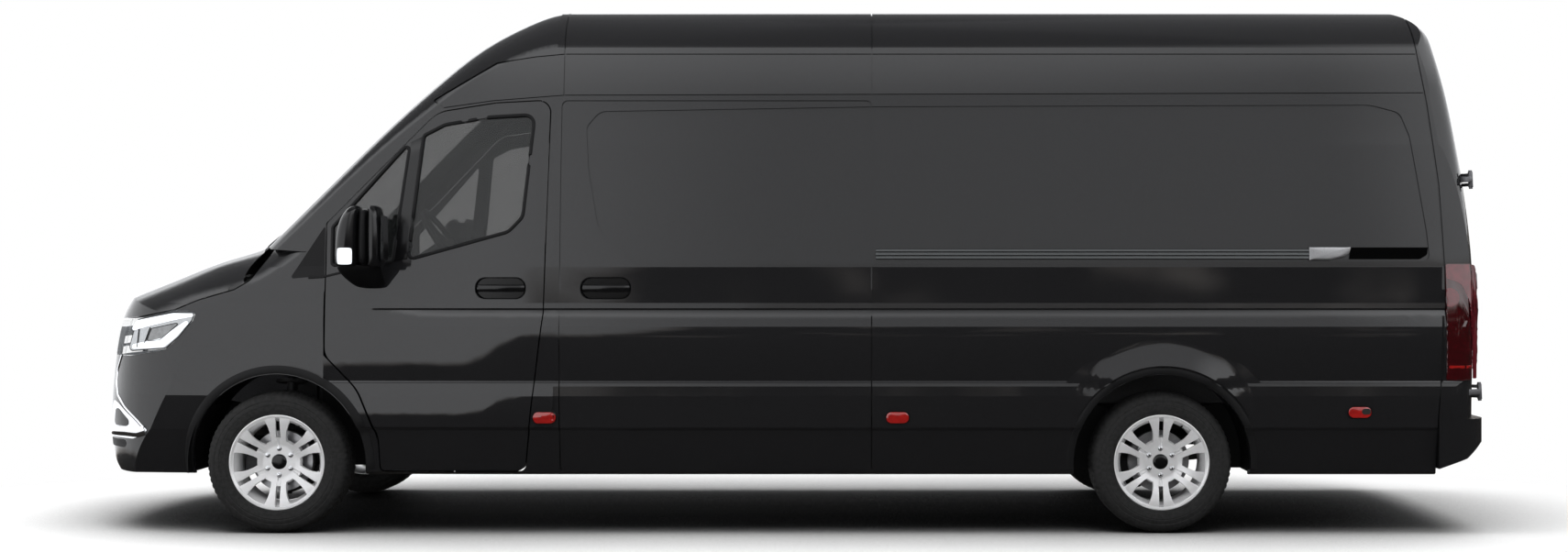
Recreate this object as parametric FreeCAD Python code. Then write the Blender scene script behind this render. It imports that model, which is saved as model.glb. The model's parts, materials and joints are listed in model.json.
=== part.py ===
import FreeCAD, Part
import math
import os

V = FreeCAD.Vector

# Driving dimensions in millimetres: +Z up, front towards -X, left side towards -Y
LENGTH = 6967.0
WIDTH = 2020.0
WHEELBASE = 4325.0
FRONT_OVERHANG = 1031.0
TRACK = 1710.0
TYRE_RADIUS = 345.0
TYRE_WIDTH = 225.0
RIM_RADIUS = 233.5
LUG_CIRCLE_RADIUS = 65.0
BODY_WALL = 52.0
NOSE_WALL = 28.0
GLASS_THICKNESS = 5.0
GLASS_INSET = 5.0
PANEL_GAP = 6.0
RECESS_DEPTH = 7.0
ARCH_RADIUS = 432.0
LOAD_FLOOR_Z = 650.0
FLOOR_THICKNESS = 30.0
SEAT_GAP = 0.3
ARCH_LIP = 45.0
LIP_HEIGHT = 5.0
ROOF_GROOVE_Z = 2350.0
ROOF_DIVISIONS = (-1600.0, -1350.0)
FLARE_RADIUS = 615.0
FLARE_FOOT_Z = 738.0
HANDLE_Z = 1197.0
HANDLE_FLOOR_Y = -963.0
HANDLE_CUP_HEIGHT = 108.0
HANDLE_HEIGHT = 30.0
GROOVE_DEPTH = 8.0
HEADER_Y = 700.0
BONNET_REAR_SIDE = V(-2560, 790, 0)
BONNET_REAR_MIDDLE = V(-2640, 0, 0)
RAIL_INNER_Y = 400.0
RAIL_OUTER_Y = 470.0
RAIL_Z = 470.0
CAB_FLOOR_HALF = 904.0
CROSS_MEMBERS = (-3250.0, -1500.0, -300.0, 700.0, 3240.0)
CROSS_MEMBER_Z = 507.0
LINER_RADIUS = 450.0
LINER_THICKNESS = 6.0
LINER_INNER_Y = 520.0
FIREWALL_X = -2330.0
BUMPER_TOP_Z = 560.0
LAMP_FOOT_Z = 725.0
TOWING_X = -3462.0
TOWING_Y = 300.0
TOWING_Z = 607.0
TOWING_RADIUS = 10.0
TOWING_LENGTH = 60.0
DOOR_SILL_Z = 575.0
REAR_DOOR_TOP = 2440.0

# Body heights
SILL_Z = 285.0
SKIRT_Z = 504.0
BELT_Z = 1306.0
CREASE_Z = 1095.0
GUTTER_Z = 2150.0
ROOF_CROWN = 55.0

# Places that follow from the driving dimensions
HALF = WIDTH / 2
X_FRONT = -LENGTH / 2
X_REAR = LENGTH / 2
X_FRONT_AXLE = X_FRONT + FRONT_OVERHANG
X_REAR_AXLE = X_FRONT_AXLE + WHEELBASE
WHEEL_Y = TRACK / 2
WHEEL_Z = TYRE_RADIUS
X_CAP_SEAM = -1058.0
X_BLOCK_SEAM = -1095.0
X_DOOR_SEAM = 457.0
X_BODY_END = 3400.0
TAPER_START = -1150.0
TAPER_RADIUS = 18000.0
BODY_LIMIT = 1300.0

LEFT = -1
RIGHT = 1


def save(shape, name):
    shape.exportStep("parts/" + name + ".step")


def line(a, b):
    return Part.LineSegment(a, b).toShape()


def bezier(*poles):
    curve = Part.BezierCurve()
    curve.setPoles(list(poles))
    return curve.toShape()


def on_xz(a, b):
    return V(a, 0, b)


def on_yz(a, b):
    return V(0, a, b)


def outline(points, place):
    """Closed wire through the points, each third number being that corner's radius."""
    corners = []
    for index, point in enumerate(points):
        here = V(point[0], point[1], 0)
        radius = point[2] if len(point) > 2 else 0
        if radius == 0:
            corners.append((here, None, here))
            continue
        before = points[index - 1]
        after = points[(index + 1) % len(points)]
        u = (V(before[0], before[1], 0) - here).normalize()
        w = (V(after[0], after[1], 0) - here).normalize()
        half = u.getAngle(w) / 2
        reach = radius / math.tan(half)
        bisector = (u + w).normalize()
        middle = here + bisector * (radius / math.sin(half) - radius)
        corners.append((here + u * reach, middle, here + w * reach))
    edges = []
    for index, (first, middle, last) in enumerate(corners):
        if middle is not None:
            arc = Part.Arc(place(first.x, first.y), place(middle.x, middle.y), place(last.x, last.y))
            edges.append(arc.toShape())
        following = corners[(index + 1) % len(corners)][0]
        if (last - following).Length > 0.01:
            edges.append(line(place(last.x, last.y), place(following.x, following.y)))
    return Part.Wire(edges)


def grown(points, grow):
    """The same outline with every side moved outwards by a distance."""
    count = len(points)
    area = sum(points[i - 1][0] * points[i][1] - points[i][0] * points[i - 1][1] for i in range(count))
    turn = 1.0 if area > 0 else -1.0
    moved = []
    for index, point in enumerate(points):
        here = V(point[0], point[1], 0)
        before = points[index - 1]
        after = points[(index + 1) % count]
        u = (here - V(before[0], before[1], 0)).normalize()
        w = (V(after[0], after[1], 0) - here).normalize()
        bend = turn * (u.x * w.y - u.y * w.x)
        normal = V(u.y + w.y, -u.x - w.x, 0) * turn
        shift = normal * (2 * grow / normal.Length ** 2)
        corner = (here.x + shift.x, here.y + shift.y)
        if len(point) > 2:
            radius = point[2] + (grow if bend > 0 else -grow)
            corner += (max(0.0, radius),)
        moved.append(corner)
    return moved


def grown_face(points, place, grow):
    if grow != 0:
        points = grown(points, grow)
    return Part.Face(outline(points, place))


def prism_y(points, y0, y1, grow=0.0):
    face = grown_face(points, on_xz, grow)
    face.translate(V(0, y0, 0))
    return face.extrude(V(0, y1 - y0, 0))


def prism_x(points, x0, x1, grow=0.0):
    face = grown_face(points, on_yz, grow)
    face.translate(V(x0, 0, 0))
    return face.extrude(V(x1 - x0, 0, 0))


def block(x0, x1, y0, y1, z0, z1):
    return Part.makeBox(x1 - x0, y1 - y0, z1 - z0, V(x0, y0, z0))


def tube_y(radius, x, z, y0, y1):
    return Part.makeCylinder(radius, abs(y1 - y0), V(x, min(y0, y1), z), V(0, 1, 0))


def rod(radius, start, end):
    return Part.makeCylinder(radius, (end - start).Length, start, end - start)


def mirrored(shape):
    return shape.mirror(V(0, 0, 0), V(0, 1, 0))


def both_sides(shape):
    return Part.makeCompound([shape, mirrored(shape)])


def lathe_y(profile, x, z, side, y):
    """Solid turned about a line along Y: profile holds (radius, distance outboard of y)."""
    wire = Part.makePolygon([V(radius, side * out, 0) for radius, out in profile + profile[:1]])
    solid = Part.Face(wire).revolve(V(0, 0, 0), V(0, 1, 0), 360)
    solid.translate(V(x, y, z))
    return solid


def interpolate(table, x):
    if x <= table[0][0]:
        return table[0][1]
    for (x0, v0), (x1, v1) in zip(table, table[1:]):
        if x <= x1:
            return v0 + (v1 - v0) * (x - x0) / (x1 - x0)
    return table[-1][1]


def ease(x, start, end):
    t = min(1.0, max(0.0, (x - start) / (end - start)))
    return t * t * (3 - 2 * t)


class SmoothLine:
    """Smooth line through (x, z) points that can be moved inwards by a wall."""

    def __init__(self, table):
        self.curve = Part.BSplineCurve()
        self.curve.interpolate([V(x, 0, z) for x, z in table])

    def z_at(self, x):
        low = self.curve.FirstParameter
        high = self.curve.LastParameter
        for _ in range(40):
            middle = (low + high) / 2
            if self.curve.value(middle).x < x:
                low = middle
            else:
                high = middle
        return self.curve.value(low).z

    def moved_in(self, distance):
        points = []
        for knot in self.curve.getKnots():
            place = self.curve.value(knot)
            direction = self.curve.tangent(knot)[0]
            inwards = V(direction.z, 0, -direction.x)
            inwards.normalize()
            points.append((place.x + inwards.x * distance, place.z + inwards.z * distance))
        return SmoothLine(points)


# Side wall: how far in from the widest point it lies at a height
def taper(x):
    if x >= TAPER_START:
        return 0.0
    return (x - TAPER_START) ** 2 / (2 * TAPER_RADIUS)


WALL_BULGE_Z = 850.0
WALL_BULGE = 1.68e-4
LEAN = 0.060
LEAN_CURVE = 5.0e-5
BELT_IN = WALL_BULGE * (BELT_Z - WALL_BULGE_Z) ** 2


def lower_wall(z):
    return HALF - WALL_BULGE * (z - WALL_BULGE_Z) ** 2


def upper_wall(z):
    return HALF - BELT_IN - LEAN * (z - BELT_Z) - LEAN_CURVE * (z - BELT_Z) ** 2


def parabola(wall, z0, z1, inset):
    """Pole list of the exact parabola that a wall formula draws between two heights."""
    middle = (z0 + z1) / 2
    pole = 2 * wall(middle) - (wall(z0) + wall(z1)) / 2
    return [(wall(z0) - inset, z0), (pole - inset, middle), (wall(z1) - inset, z1)]


def skin(rings, stations):
    """Solid through closed rings of pole lists, smooth from one station to the next."""
    faces = []
    for strip in range(len(rings[0])):
        rows = []
        for pole in range(len(rings[0][strip])):
            run = Part.BSplineCurve()
            run.interpolate(Points=[ring[strip][pole] for ring in rings], Parameters=stations)
            rows.append(run.getPoles())
        across = len(rows)
        surface = Part.BSplineSurface()
        surface.buildFromPolesMultsKnots(
            rows, [across, across], run.getMultiplicities(), [0.0, 1.0], run.getKnots(),
            False, False, across - 1, run.Degree)
        faces.append(surface.toShape())
    for ring in (rings[0], rings[-1]):
        faces.append(Part.Face(Part.Wire([bezier(*poles) for poles in ring])))
    shell = Part.makeShell(faces)
    shell.sewShape()
    solid = Part.makeSolid(shell)
    if solid.Volume < 0:
        solid.reverse()
    return solid


def section_ring(x, halves, crown_poles):
    """Closed ring across the vehicle at x from the pole lists of one half."""
    foot_y, foot_z = halves[0][0]
    ring = []
    for poles in halves:
        ring.append([V(x, y, z) for y, z in poles])
    ring.append([V(x, y, z) for y, z in crown_poles])
    for poles in reversed(halves):
        ring.append([V(x, -y, z) for y, z in reversed(poles)])
    ring.append([V(x, -foot_y, foot_z), V(x, foot_y, foot_z)])
    return ring


ROLL = 0.62
ROLL_WIDTH = 1.15


def roof_roll(wall, shoulder_z, crown, radius, inset):
    """Rounded corner and crowned top of a section, and the height at which the corner starts."""
    start_z = shoulder_z - radius
    start_y = wall(start_z) - inset
    slope = (wall(start_z + 1) - wall(start_z - 1)) / 2
    shoulder_y = wall(shoulder_z) - inset
    width = radius * ROLL_WIDTH
    end_y = shoulder_y - width
    top_z = shoulder_z + crown
    end_z = top_z - crown * (end_y / shoulder_y) ** 2
    end_slope = -2 * crown * end_y / shoulder_y ** 2
    corner = [
        (start_y, start_z),
        (start_y + slope * radius * ROLL, start_z + radius * ROLL),
        (end_y + width * ROLL, end_z + end_slope * width * ROLL),
        (end_y, end_z),
    ]
    top = [(end_y, end_z), (0, 2 * top_z - end_z), (-end_y, end_z)]
    return corner, top, start_z


# Cab and load space: line of the pillar and roof edge seen from the side
PILLAR_LINE = [(-2720, 1181), (-2463, 1439), (-2052, 1852), (-1846, 2056), (-1686, 2205),
               (-1535, 2335), (-1348, 2455), (-1200, 2528), (X_BLOCK_SEAM, 2560), (-900, 2570)]
PILLAR_CROWN = [(-2720, 135), (-2000, 120), (-1700, 90), (-1350, 65), (-1100, ROOF_CROWN)]
PILLAR_ROLL = [(-2720, 70), (-2000, 80), (-1700, 110), (-1350, 150), (X_BLOCK_SEAM, 175)]
CAB_STATIONS = [-2700.0, -2463.0, -2200.0, -1950.0, -1700.0, -1500.0, -1300.0, -1180.0, X_BLOCK_SEAM]


def plain_section(x, shoulder_z, crown, radius, inset, high):
    """Section with smooth walls; a high one carries on above the belt."""
    shift = taper(x) + inset
    foot = SILL_Z - 60 if inset > 0 else SILL_Z
    halves = [[(lower_wall(SKIRT_Z) - 50 - shift, foot), (lower_wall(SKIRT_Z) - shift, SKIRT_Z + inset)]]
    wall = upper_wall if high else lower_wall
    corner, top, start_z = roof_roll(wall, shoulder_z, crown, radius, shift)
    if high:
        halves.append(parabola(lower_wall, SKIRT_Z + inset, BELT_Z, shift))
        halves.append(parabola(upper_wall, BELT_Z, start_z, shift))
        halves[1][0] = halves[0][-1]
    else:
        halves.append(parabola(lower_wall, SKIRT_Z + inset, start_z, shift))
        halves[1][0] = halves[0][-1]
    halves.append(corner)
    return section_ring(x, halves, top)


def pressed_section(x, shoulder_z, crown, radius):
    """Outer section with the skirt, the side moulding and the crease below the belt."""
    shift = taper(x)
    crease = ease(x, -2250, -1750)
    corner, top, start_z = roof_roll(upper_wall, shoulder_z, crown, radius, shift)
    under = HALF - 8 - 16 * crease - shift
    over = HALF - 10 - 11 * crease - shift
    halves = [
        [(HALF - 82 - shift, SILL_Z), (HALF - 52 - shift, SILL_Z + 15)],
        [(HALF - 52 - shift, SILL_Z + 15), (HALF - 24 - shift, SKIRT_Z)],
        [(HALF - 24 - shift, SKIRT_Z), (HALF - 6 - shift, SKIRT_Z + 18)],
        [(HALF - 6 - shift, SKIRT_Z + 18), (HALF + 4 - shift, 635), (HALF - 7 - shift, 735)],
        [(HALF - 7 - shift, 735), (HALF - 11 - shift, 746)],
        [(HALF - 11 - shift, 746), (HALF + 3 - shift, 900), (HALF - 5 - shift, 1010)],
        [(HALF - 5 - shift, 1010), (HALF - 9 - 4 * crease - shift, 1060), (under, CREASE_Z - 5)],
        [(under, CREASE_Z - 5), (over, CREASE_Z + 5)],
        [(over, CREASE_Z + 5), (over - 8, 1206), (HALF - BELT_IN - shift, BELT_Z)],
        parabola(upper_wall, BELT_Z, start_z, shift),
        corner,
    ]
    return section_ring(x, halves, top)


REAR_LINE = [(200, 0), (900, 0), (1306, -4), (1885, -53), (2200, -105), (2400, -155),
             (2490, -205), (2545, -290), (2600, -420), (2660, -640)]


def rear_end(inset):
    """Block whose back face is the bowed, leaning back of the body with round corners."""
    rings = []
    start = X_BLOCK_SEAM - 10
    for z, back in REAR_LINE:
        x = X_BODY_END + back - inset
        side = (upper_wall(z) if z > BELT_Z else HALF) + 0.5 - inset
        face_y = side - 130
        corner = [V(x - 110, side, z), V(x, side, z), V(x + 6, face_y, z)]
        other = [V(p.x, -p.y, z) for p in reversed(corner)]
        rings.append([
            [V(start, side, z), corner[0]], corner,
            [corner[-1], V(x + 40, 0, z), other[0]], other,
            [other[-1], V(start, -side, z)], [V(start, -side, z), V(start, side, z)]])
    return skin(rings, [z for z, back in REAR_LINE])


def straight_wire(ring):
    """Wire of a ring whose rounded roof corners are true arcs."""
    edges = []
    for poles in ring:
        if len(poles) == 4:
            middle = (poles[0] + poles[3]) * 0.125 + (poles[1] + poles[2]) * 0.375
            edges.append(Part.Arc(poles[0], middle, poles[3]).toShape())
        else:
            edges.append(bezier(*poles))
    return Part.Wire(edges)


def cabin(inset, pressed=False):
    """Whole cab and load space as one solid, inset from the outer skin."""
    pillar = SmoothLine(PILLAR_LINE)
    if inset != 0:
        pillar = pillar.moved_in(inset)
    rings = []
    for x in CAB_STATIONS:
        shoulder_z = pillar.z_at(x)
        crown = interpolate(PILLAR_CROWN, x)
        radius = interpolate(PILLAR_ROLL, x) - inset * 0.5
        if pressed:
            rings.append(pressed_section(x, shoulder_z, crown, radius))
        else:
            rings.append(plain_section(x, shoulder_z, crown, radius, inset, True))
    front = skin(rings, CAB_STATIONS)
    face = Part.Face(straight_wire(rings[-1]))
    rear = face.extrude(V(X_REAR + 100 - X_BLOCK_SEAM, 0, 0)).common(rear_end(inset))
    return front, rear


# Nose: bonnet edge line, and how far back the front face lies at each height
BONNET_LINE = [(-3600, 955), (-3369, 1056), (-3250, 1106), (-3014, 1199), (-2777, 1288),
               (-2500, 1392), (-2400, 1470), (-2300, 1560), (-2100, 1720)]
BONNET_CROWN = [(-3600, 105), (-2900, 110), (-2100, 120)]
NOSE_STATIONS = [-3560.0, -3369.0, -3250.0, -3014.0, -2777.0, -2500.0, -2400.0, -2300.0, -2120.0]
NOSE_ROLL = 170.0
NOSE_LINE = [(180, 170), (270, 75), (320, 36), (380, 16), (450, 6), (600, 0), (800, 20),
             (947, 46), (1050, 82), (1120, 130), (1200, 220), (1300, 380),
             (1450, 640), (1700, 1000)]
NOSE_CORNER_X = -2900.0


def nose_end(inset):
    """Block whose front face is the bowed front of the vehicle, wrapped round to the wings."""
    rings = []
    start = -2000.0
    for z, back in NOSE_LINE:
        x = X_FRONT + back + inset
        corner_x = NOSE_CORNER_X + back * 0.3
        side = HALF - taper(corner_x) - inset + 1.0
        slope = (taper(corner_x) - taper(corner_x + 10)) / 10
        tail = side + 60
        bend = [V(corner_x, side, z), V(corner_x - 430, side - 430 * slope, z), V(x, 620, z), V(x, 0, z)]
        other = [V(p.x, -p.y, z) for p in reversed(bend)]
        rings.append([
            [V(start, tail, z), bend[0]], bend, other, [other[-1], V(start, -tail, z)],
            [V(start, -tail, z), V(start, tail, z)]])
    return skin(rings, [z for z, back in NOSE_LINE])


def nose(inset):
    """Bonnet, wings and front bumper as one solid, inset from the outer skin."""
    bonnet = SmoothLine(BONNET_LINE)
    if inset != 0:
        bonnet = bonnet.moved_in(inset)
    rings = []
    for x in NOSE_STATIONS:
        crown = interpolate(BONNET_CROWN, x)
        rings.append(plain_section(x, bonnet.z_at(x), crown, NOSE_ROLL - inset * 0.5, inset, False))
    return skin(rings, NOSE_STATIONS).common(nose_end(inset))


# Outlines of the panels seen from the side, as (x, z, corner radius)
FRONT_DOOR = [(-1950, 302, 25), (-1237, 302, 45), (-1198, 650, 200), (-1145, 1075, 150), (-1120, 2122, 60),
              (-1390, 2108, 300), (-1680, 2062, 150), (-2215, 1515, 20), (-2215, 870, 90),
              (-2050, 700, 220), (-1955, 470, 150)]
MAIN_WINDOW = [(-1812, 1335, 25), (-1320, 1472, 70), (-1250, 1545, 60), (-1198, 2050, 45),
               (-1420, 2037, 200), (-1640, 2000, 90), (-1745, 1945, 30)]
QUARTER_WINDOW = [(-2185, 1309, 15), (-1885, 1324, 20), (-1808, 1920, 15), (-2185, 1495, 25)]
SLIDING_DOOR = [(-1068, 302, 25), (X_DOOR_SEAM, 302, 25), (X_DOOR_SEAM, 2120, 30), (-1068, 2120, 30)]
SLIDING_RECESS = [(-700, 1312, 60), (500, 1312), (500, 2090), (-880, 2066, 70), (-945, 1990, 50),
                  (-932, 1780), (-880, 1480, 150)]
REAR_RECESS = [(420, 1312), (3178, 1330, 30), (3166, 1470), (3095, 1945, 120), (3050, 2060, 60),
               (2907, 2098, 200), (420, 2090)]
CORNER_SEAM = [(3214, 200), (3214, BUMPER_TOP_Z), (3226, LAMP_FOOT_Z), (3244, 1328), (3226, 1707),
               (3181, 2109), (3146, 2332), (3112, 2560), (3090, 2800)]
GUTTER_END = (3173, GUTTER_Z + 10)
ROOF_SEAM = [(X_CAP_SEAM, GUTTER_Z - 2), (-1412, 2120), (-1650, 2086), (-1800, 2200)]
SAIL = [(-2393, 1243, 10), (-2221, 1258), (-2221, 1505, 5)]
SIDE_FRONT = [(-2600, 1460), (-2499, 1388), (-2312, 1375), (-2393, 1243), (-2221, 1258), (-2221, 1180),
              (-1962, 1180), (-1962, 200)]
LAMP_EDGE = [(-3023, 891), (-2952, 946), (-2875, 1036, 20), (-2860, 1078, 8), (-2901, 1087), (-2970, 1090)]
WING_SPLIT_X = -2221.0
WING = [(WING_SPLIT_X, 200), (WING_SPLIT_X, 1258), (-2393, 1243), (-2312, 1375), (-2499, 1388), (-2519, 1347),
        (-2594, 1235, 60), (-2671, 1190), (-2850, 1139)] + LAMP_EDGE[::-1] + [
            (-2990, 790, 150), (-2926, 733, 60), (-2836, 712), (-2452, 600), (-2452, 200)]
WING_TAIL = [(-1962, 200), (-1962, 470, 150), (-2057, 700, 220), (WING_SPLIT_X, 870), (WING_SPLIT_X, 200)]
BONNET = [(-3700, 1002), (-3175, 1052), (-2970, 1090), (-2850, 1139), (-2671, 1190), (-2594, 1235, 60),
          (-2519, 1347), (-2499, 1388), (-2380, 1450), (-2380, 1900), (-3700, 1900)]
HEADLAMP = [(-3700, 862), (-3215, 862)] + LAMP_EDGE + [(-3175, 1052), (-3700, 1002)]
BUMPER = [(-3700, 200), (-2452, 200), (-2452, 600), (-2836, 712), (-2926, 733, 60), (-2990, 790, 150),
          (-3023, 891), (-3060, 998), (-3700, 998)]
TAIL_LAMP = [(3250, 748, 12), (3600, 748), (3600, 1319), (3250, 1319, 25)]

# Outlines seen from the front or back, as (y, z, corner radius)
WINDSCREEN = [(-838, 1380, 60), (838, 1380, 60), (742, 2185, 70), (-742, 2185, 70)]
GRILLE = [(-440, 655, 40), (440, 655, 40), (480, 985, 50), (-480, 985, 50)]
INTAKE = [(-420, 420, 30), (420, 420, 30), (460, 560, 30), (-460, 560, 30)]
REAR_DOOR = [(905, DOOR_SILL_Z, 25), (895, 1306, 400), (805, 2150, 300), (740, REAR_DOOR_TOP, 90),
             (5, REAR_DOOR_TOP), (5, DOOR_SILL_Z)]
REAR_DOOR_RECESS = [(790, 1325, 50), (110, 1325, 50), (110, 2085, 60), (720, 2085, 60)]
LAMP_INNER_Y = 915.0
HEADLAMP_INNER_Y = 500.0


def flipped(points):
    return [(-point[0],) + tuple(point[1:]) for point in points]


def left_prism(points, grow=0.0, reach=0.0):
    """Prism through the left side wall."""
    return prism_y(points, -reach, -BODY_LIMIT, grow)


def wide_prism(points, grow=0.0):
    return prism_y(points, -BODY_LIMIT, BODY_LIMIT, grow)


def inner_room():
    front, rear = cabin(BODY_WALL + SEAT_GAP)
    return front.fuse(rear)


class Body:
    """Skins of the body, each made once and cut into panels afterwards."""

    def __init__(self):
        front, rear = cabin(0, True)
        front_in, rear_in = cabin(BODY_WALL)
        self.cab_outer = front
        self.outer = front.fuse(rear)
        self.shell = self.outer.cut(front_in.fuse(rear_in))
        self.recess_base = cabin(RECESS_DEPTH)[1]
        groove_front, groove_rear = cabin(GROOVE_DEPTH)
        self.groove_base = groove_front.fuse(groove_rear)
        self.room = inner_room()
        self.nose_outer = nose(0)
        self.nose_shell = self.nose_outer.cut(nose(NOSE_WALL))
        self.nose_room = nose(NOSE_WALL + SEAT_GAP)
        glass_out = cabin(GLASS_INSET)[0]
        glass_in = cabin(GLASS_INSET + GLASS_THICKNESS)[0]
        self.glass = glass_out.cut(glass_in)
        self.roof_groove = roof_groove(self)
        self.nose_lip = arch_lip(X_FRONT_AXLE, nose(-LIP_HEIGHT), self.nose_outer)

    def groove(self, face_prism, inner_prism):
        """Shadow gap that runs round a fixed panel, only as deep as the groove."""
        return face_prism.cut(inner_prism).cut(self.groove_base)


def arch_cut(x):
    return tube_y(ARCH_RADIUS, x, WHEEL_Z, -500, -BODY_LIMIT)


def gutter(x):
    """Height of the seam between the side and the roof."""
    start_x, start_z = ROOF_SEAM[0]
    return start_z + (x - start_x) * (GUTTER_END[1] - start_z) / (GUTTER_END[0] - start_x)


def roof_edge(offset):
    return [(x, z + offset) for x, z in ROOF_SEAM]


def side_panel(body):
    seam = [(x - SEAT_GAP / 2, z) for x, z in CORNER_SEAM[:6]]
    end = (GUTTER_END[0] - SEAT_GAP / 2, GUTTER_END[1] - SEAT_GAP / 2)
    points = [(-1962, 200)] + seam + [end] + roof_edge(-SEAT_GAP / 2)
    points += SIDE_FRONT[:-1]
    panel = body.shell.common(prism_y(points, -HEADER_Y, -BODY_LIMIT))
    panel = panel.cut(left_prism(FRONT_DOOR, PANEL_GAP / 2))
    panel = panel.cut(left_prism(SLIDING_DOOR, SEAT_GAP / 2))
    panel = panel.cut(left_prism(SAIL, SEAT_GAP))
    panel = panel.cut(prism_x(WINDSCREEN, -2900, -1450))
    recess = left_prism(REAR_RECESS).cut(body.recess_base)
    groove = body.groove(left_prism(points, 1), left_prism(points, -PANEL_GAP))
    groove = groove.common(block(-1700, 3400, -BODY_LIMIT, 0, 285, 2200))
    return panel.cut(recess).cut(groove).fuse(rear_flare()).cut(arch_cut(X_REAR_AXLE))


def rear_flare():
    """Swelling of the side over the rear wheel, fading out into the panel."""
    profile = [(ARCH_RADIUS - 20, -40), (FLARE_RADIUS, -40), (FLARE_RADIUS, -5), (ARCH_RADIUS + 48, 3),
               (ARCH_RADIUS - 20, 3)]
    swell = lathe_y(profile, X_REAR_AXLE, WHEEL_Z, LEFT, -HALF)
    return swell.common(block(X_REAR_AXLE - 700, X_REAR_AXLE + 700, -BODY_LIMIT, 0, FLARE_FOOT_Z, 1100))


def sail_trim(body):
    return body.shell.common(left_prism(SAIL))


def with_handle(door, x0, x1, z):
    """Left door with an oval cup pressed in round a bowed handle that stands on the cup's floor."""
    half = HANDLE_CUP_HEIGHT / 2
    cup = prism_y([(x0, z - half, half - 4), (x1, z - half, half - 4), (x1, z + half, half - 4),
                   (x0, z + half, half - 4)], HANDLE_FLOOR_Y, -BODY_LIMIT)
    a, b = x0 + 6, x1 - 6
    foot = HANDLE_FLOOR_Y + 1
    middle = (a + b) / 2
    outer = Part.Arc(V(a, foot, 0), V(middle, foot - 27, 0), V(b, foot, 0)).toShape()
    inner = Part.Arc(V(b - 34, foot, 0), V(middle, foot - 15, 0), V(a + 34, foot, 0)).toShape()
    feet = [line(V(b, foot, 0), V(b - 34, foot, 0)), line(V(a + 34, foot, 0), V(a, foot, 0))]
    bow = Part.Face(Part.Wire([outer, feet[0], inner, feet[1]])).extrude(V(0, 0, HANDLE_HEIGHT))
    bow.translate(V(0, 0, z - HANDLE_HEIGHT / 2))
    return door.cut(cup).fuse(bow)


def front_door(body):
    door = body.shell.common(left_prism(FRONT_DOOR, -PANEL_GAP / 2))
    for window in (MAIN_WINDOW, QUARTER_WINDOW):
        door = door.cut(left_prism(window))
    return with_handle(door, -1480, -1230, HANDLE_Z)


def door_glass(body):
    pieces = []
    for window in (MAIN_WINDOW, QUARTER_WINDOW):
        pieces.append(body.glass.common(left_prism(window, -SEAT_GAP)))
    return Part.makeCompound(pieces)


def sliding_door(body):
    door = body.shell.common(left_prism(SLIDING_DOOR, -SEAT_GAP / 2))
    door = door.cut(left_prism(SLIDING_RECESS).cut(body.recess_base))
    groove = body.groove(left_prism(SLIDING_DOOR, 1), left_prism(SLIDING_DOOR, -PANEL_GAP))
    return with_handle(door.cut(groove), -967, -717, HANDLE_Z)


def roof_groove(body):
    """Pressed line along both sides of the high roof."""
    low = ROOF_GROOVE_Z - 4
    high = ROOF_GROOVE_Z + 4
    points = [(-1720, 2104), (-1389, low - 44), (-1200, low - 14), (X_CAP_SEAM, low), (3700, low),
              (3700, high), (X_CAP_SEAM, high), (-1204, high - 14), (-1394, high - 44), (-1726, 2110)]
    return wide_prism(points).cut(body.groove_base)


def cross_groove(body, x):
    band = block(x - PANEL_GAP / 2, x + PANEL_GAP / 2, -BODY_LIMIT, BODY_LIMIT, GUTTER_Z - 30, 2800)
    return band.cut(body.groove_base)


def divided(solid, stations):
    """The same solid with its long curved faces divided at planes across the vehicle."""
    edges = [-3000.0] + list(stations) + [3600.0]
    pieces = []
    for start, end in zip(edges, edges[1:]):
        pieces.append(solid.common(block(start, end, -BODY_LIMIT, BODY_LIMIT, 0, 2800)))
    return pieces[0].fuse(pieces[1:])


def roof_panel(body, x0, x1):
    """Part of the high roof between two cross seams."""
    trim = SEAT_GAP / 2
    if x0 < X_CAP_SEAM:
        lower = roof_edge(trim)
        lower[0] = (x1 - trim, lower[0][1])
        points = lower + [(-2100, 2800), (x1 - trim, 2800)]
        header_y = HEADER_Y - SEAT_GAP
        header = block(-2100, -1600, -header_y, header_y, 2000, 2250)
        cap = body.shell.common(wide_prism(points).fuse(header)).cut(body.roof_groove)
        cap = cap.cut(prism_x(WINDSCREEN, -2900, -1450)).cut(cross_groove(body, x1))
        return divided(cap, ROOF_DIVISIONS)
    points = [(x0 + trim, gutter(x0) + trim)]
    if x1 > X_DOOR_SEAM:
        points += [(x - trim, z) for x, z in [(GUTTER_END[0], GUTTER_END[1] + trim)] + CORNER_SEAM[6:]]
    else:
        points += [(x1 - trim, gutter(x1) + trim), (x1 - trim, 2800)]
    points += [(x0 + trim, 2800)]
    panel = body.shell.common(wide_prism(points)).cut(body.roof_groove)
    return panel.cut(cross_groove(body, x0)).cut(cross_groove(body, x1))


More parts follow.
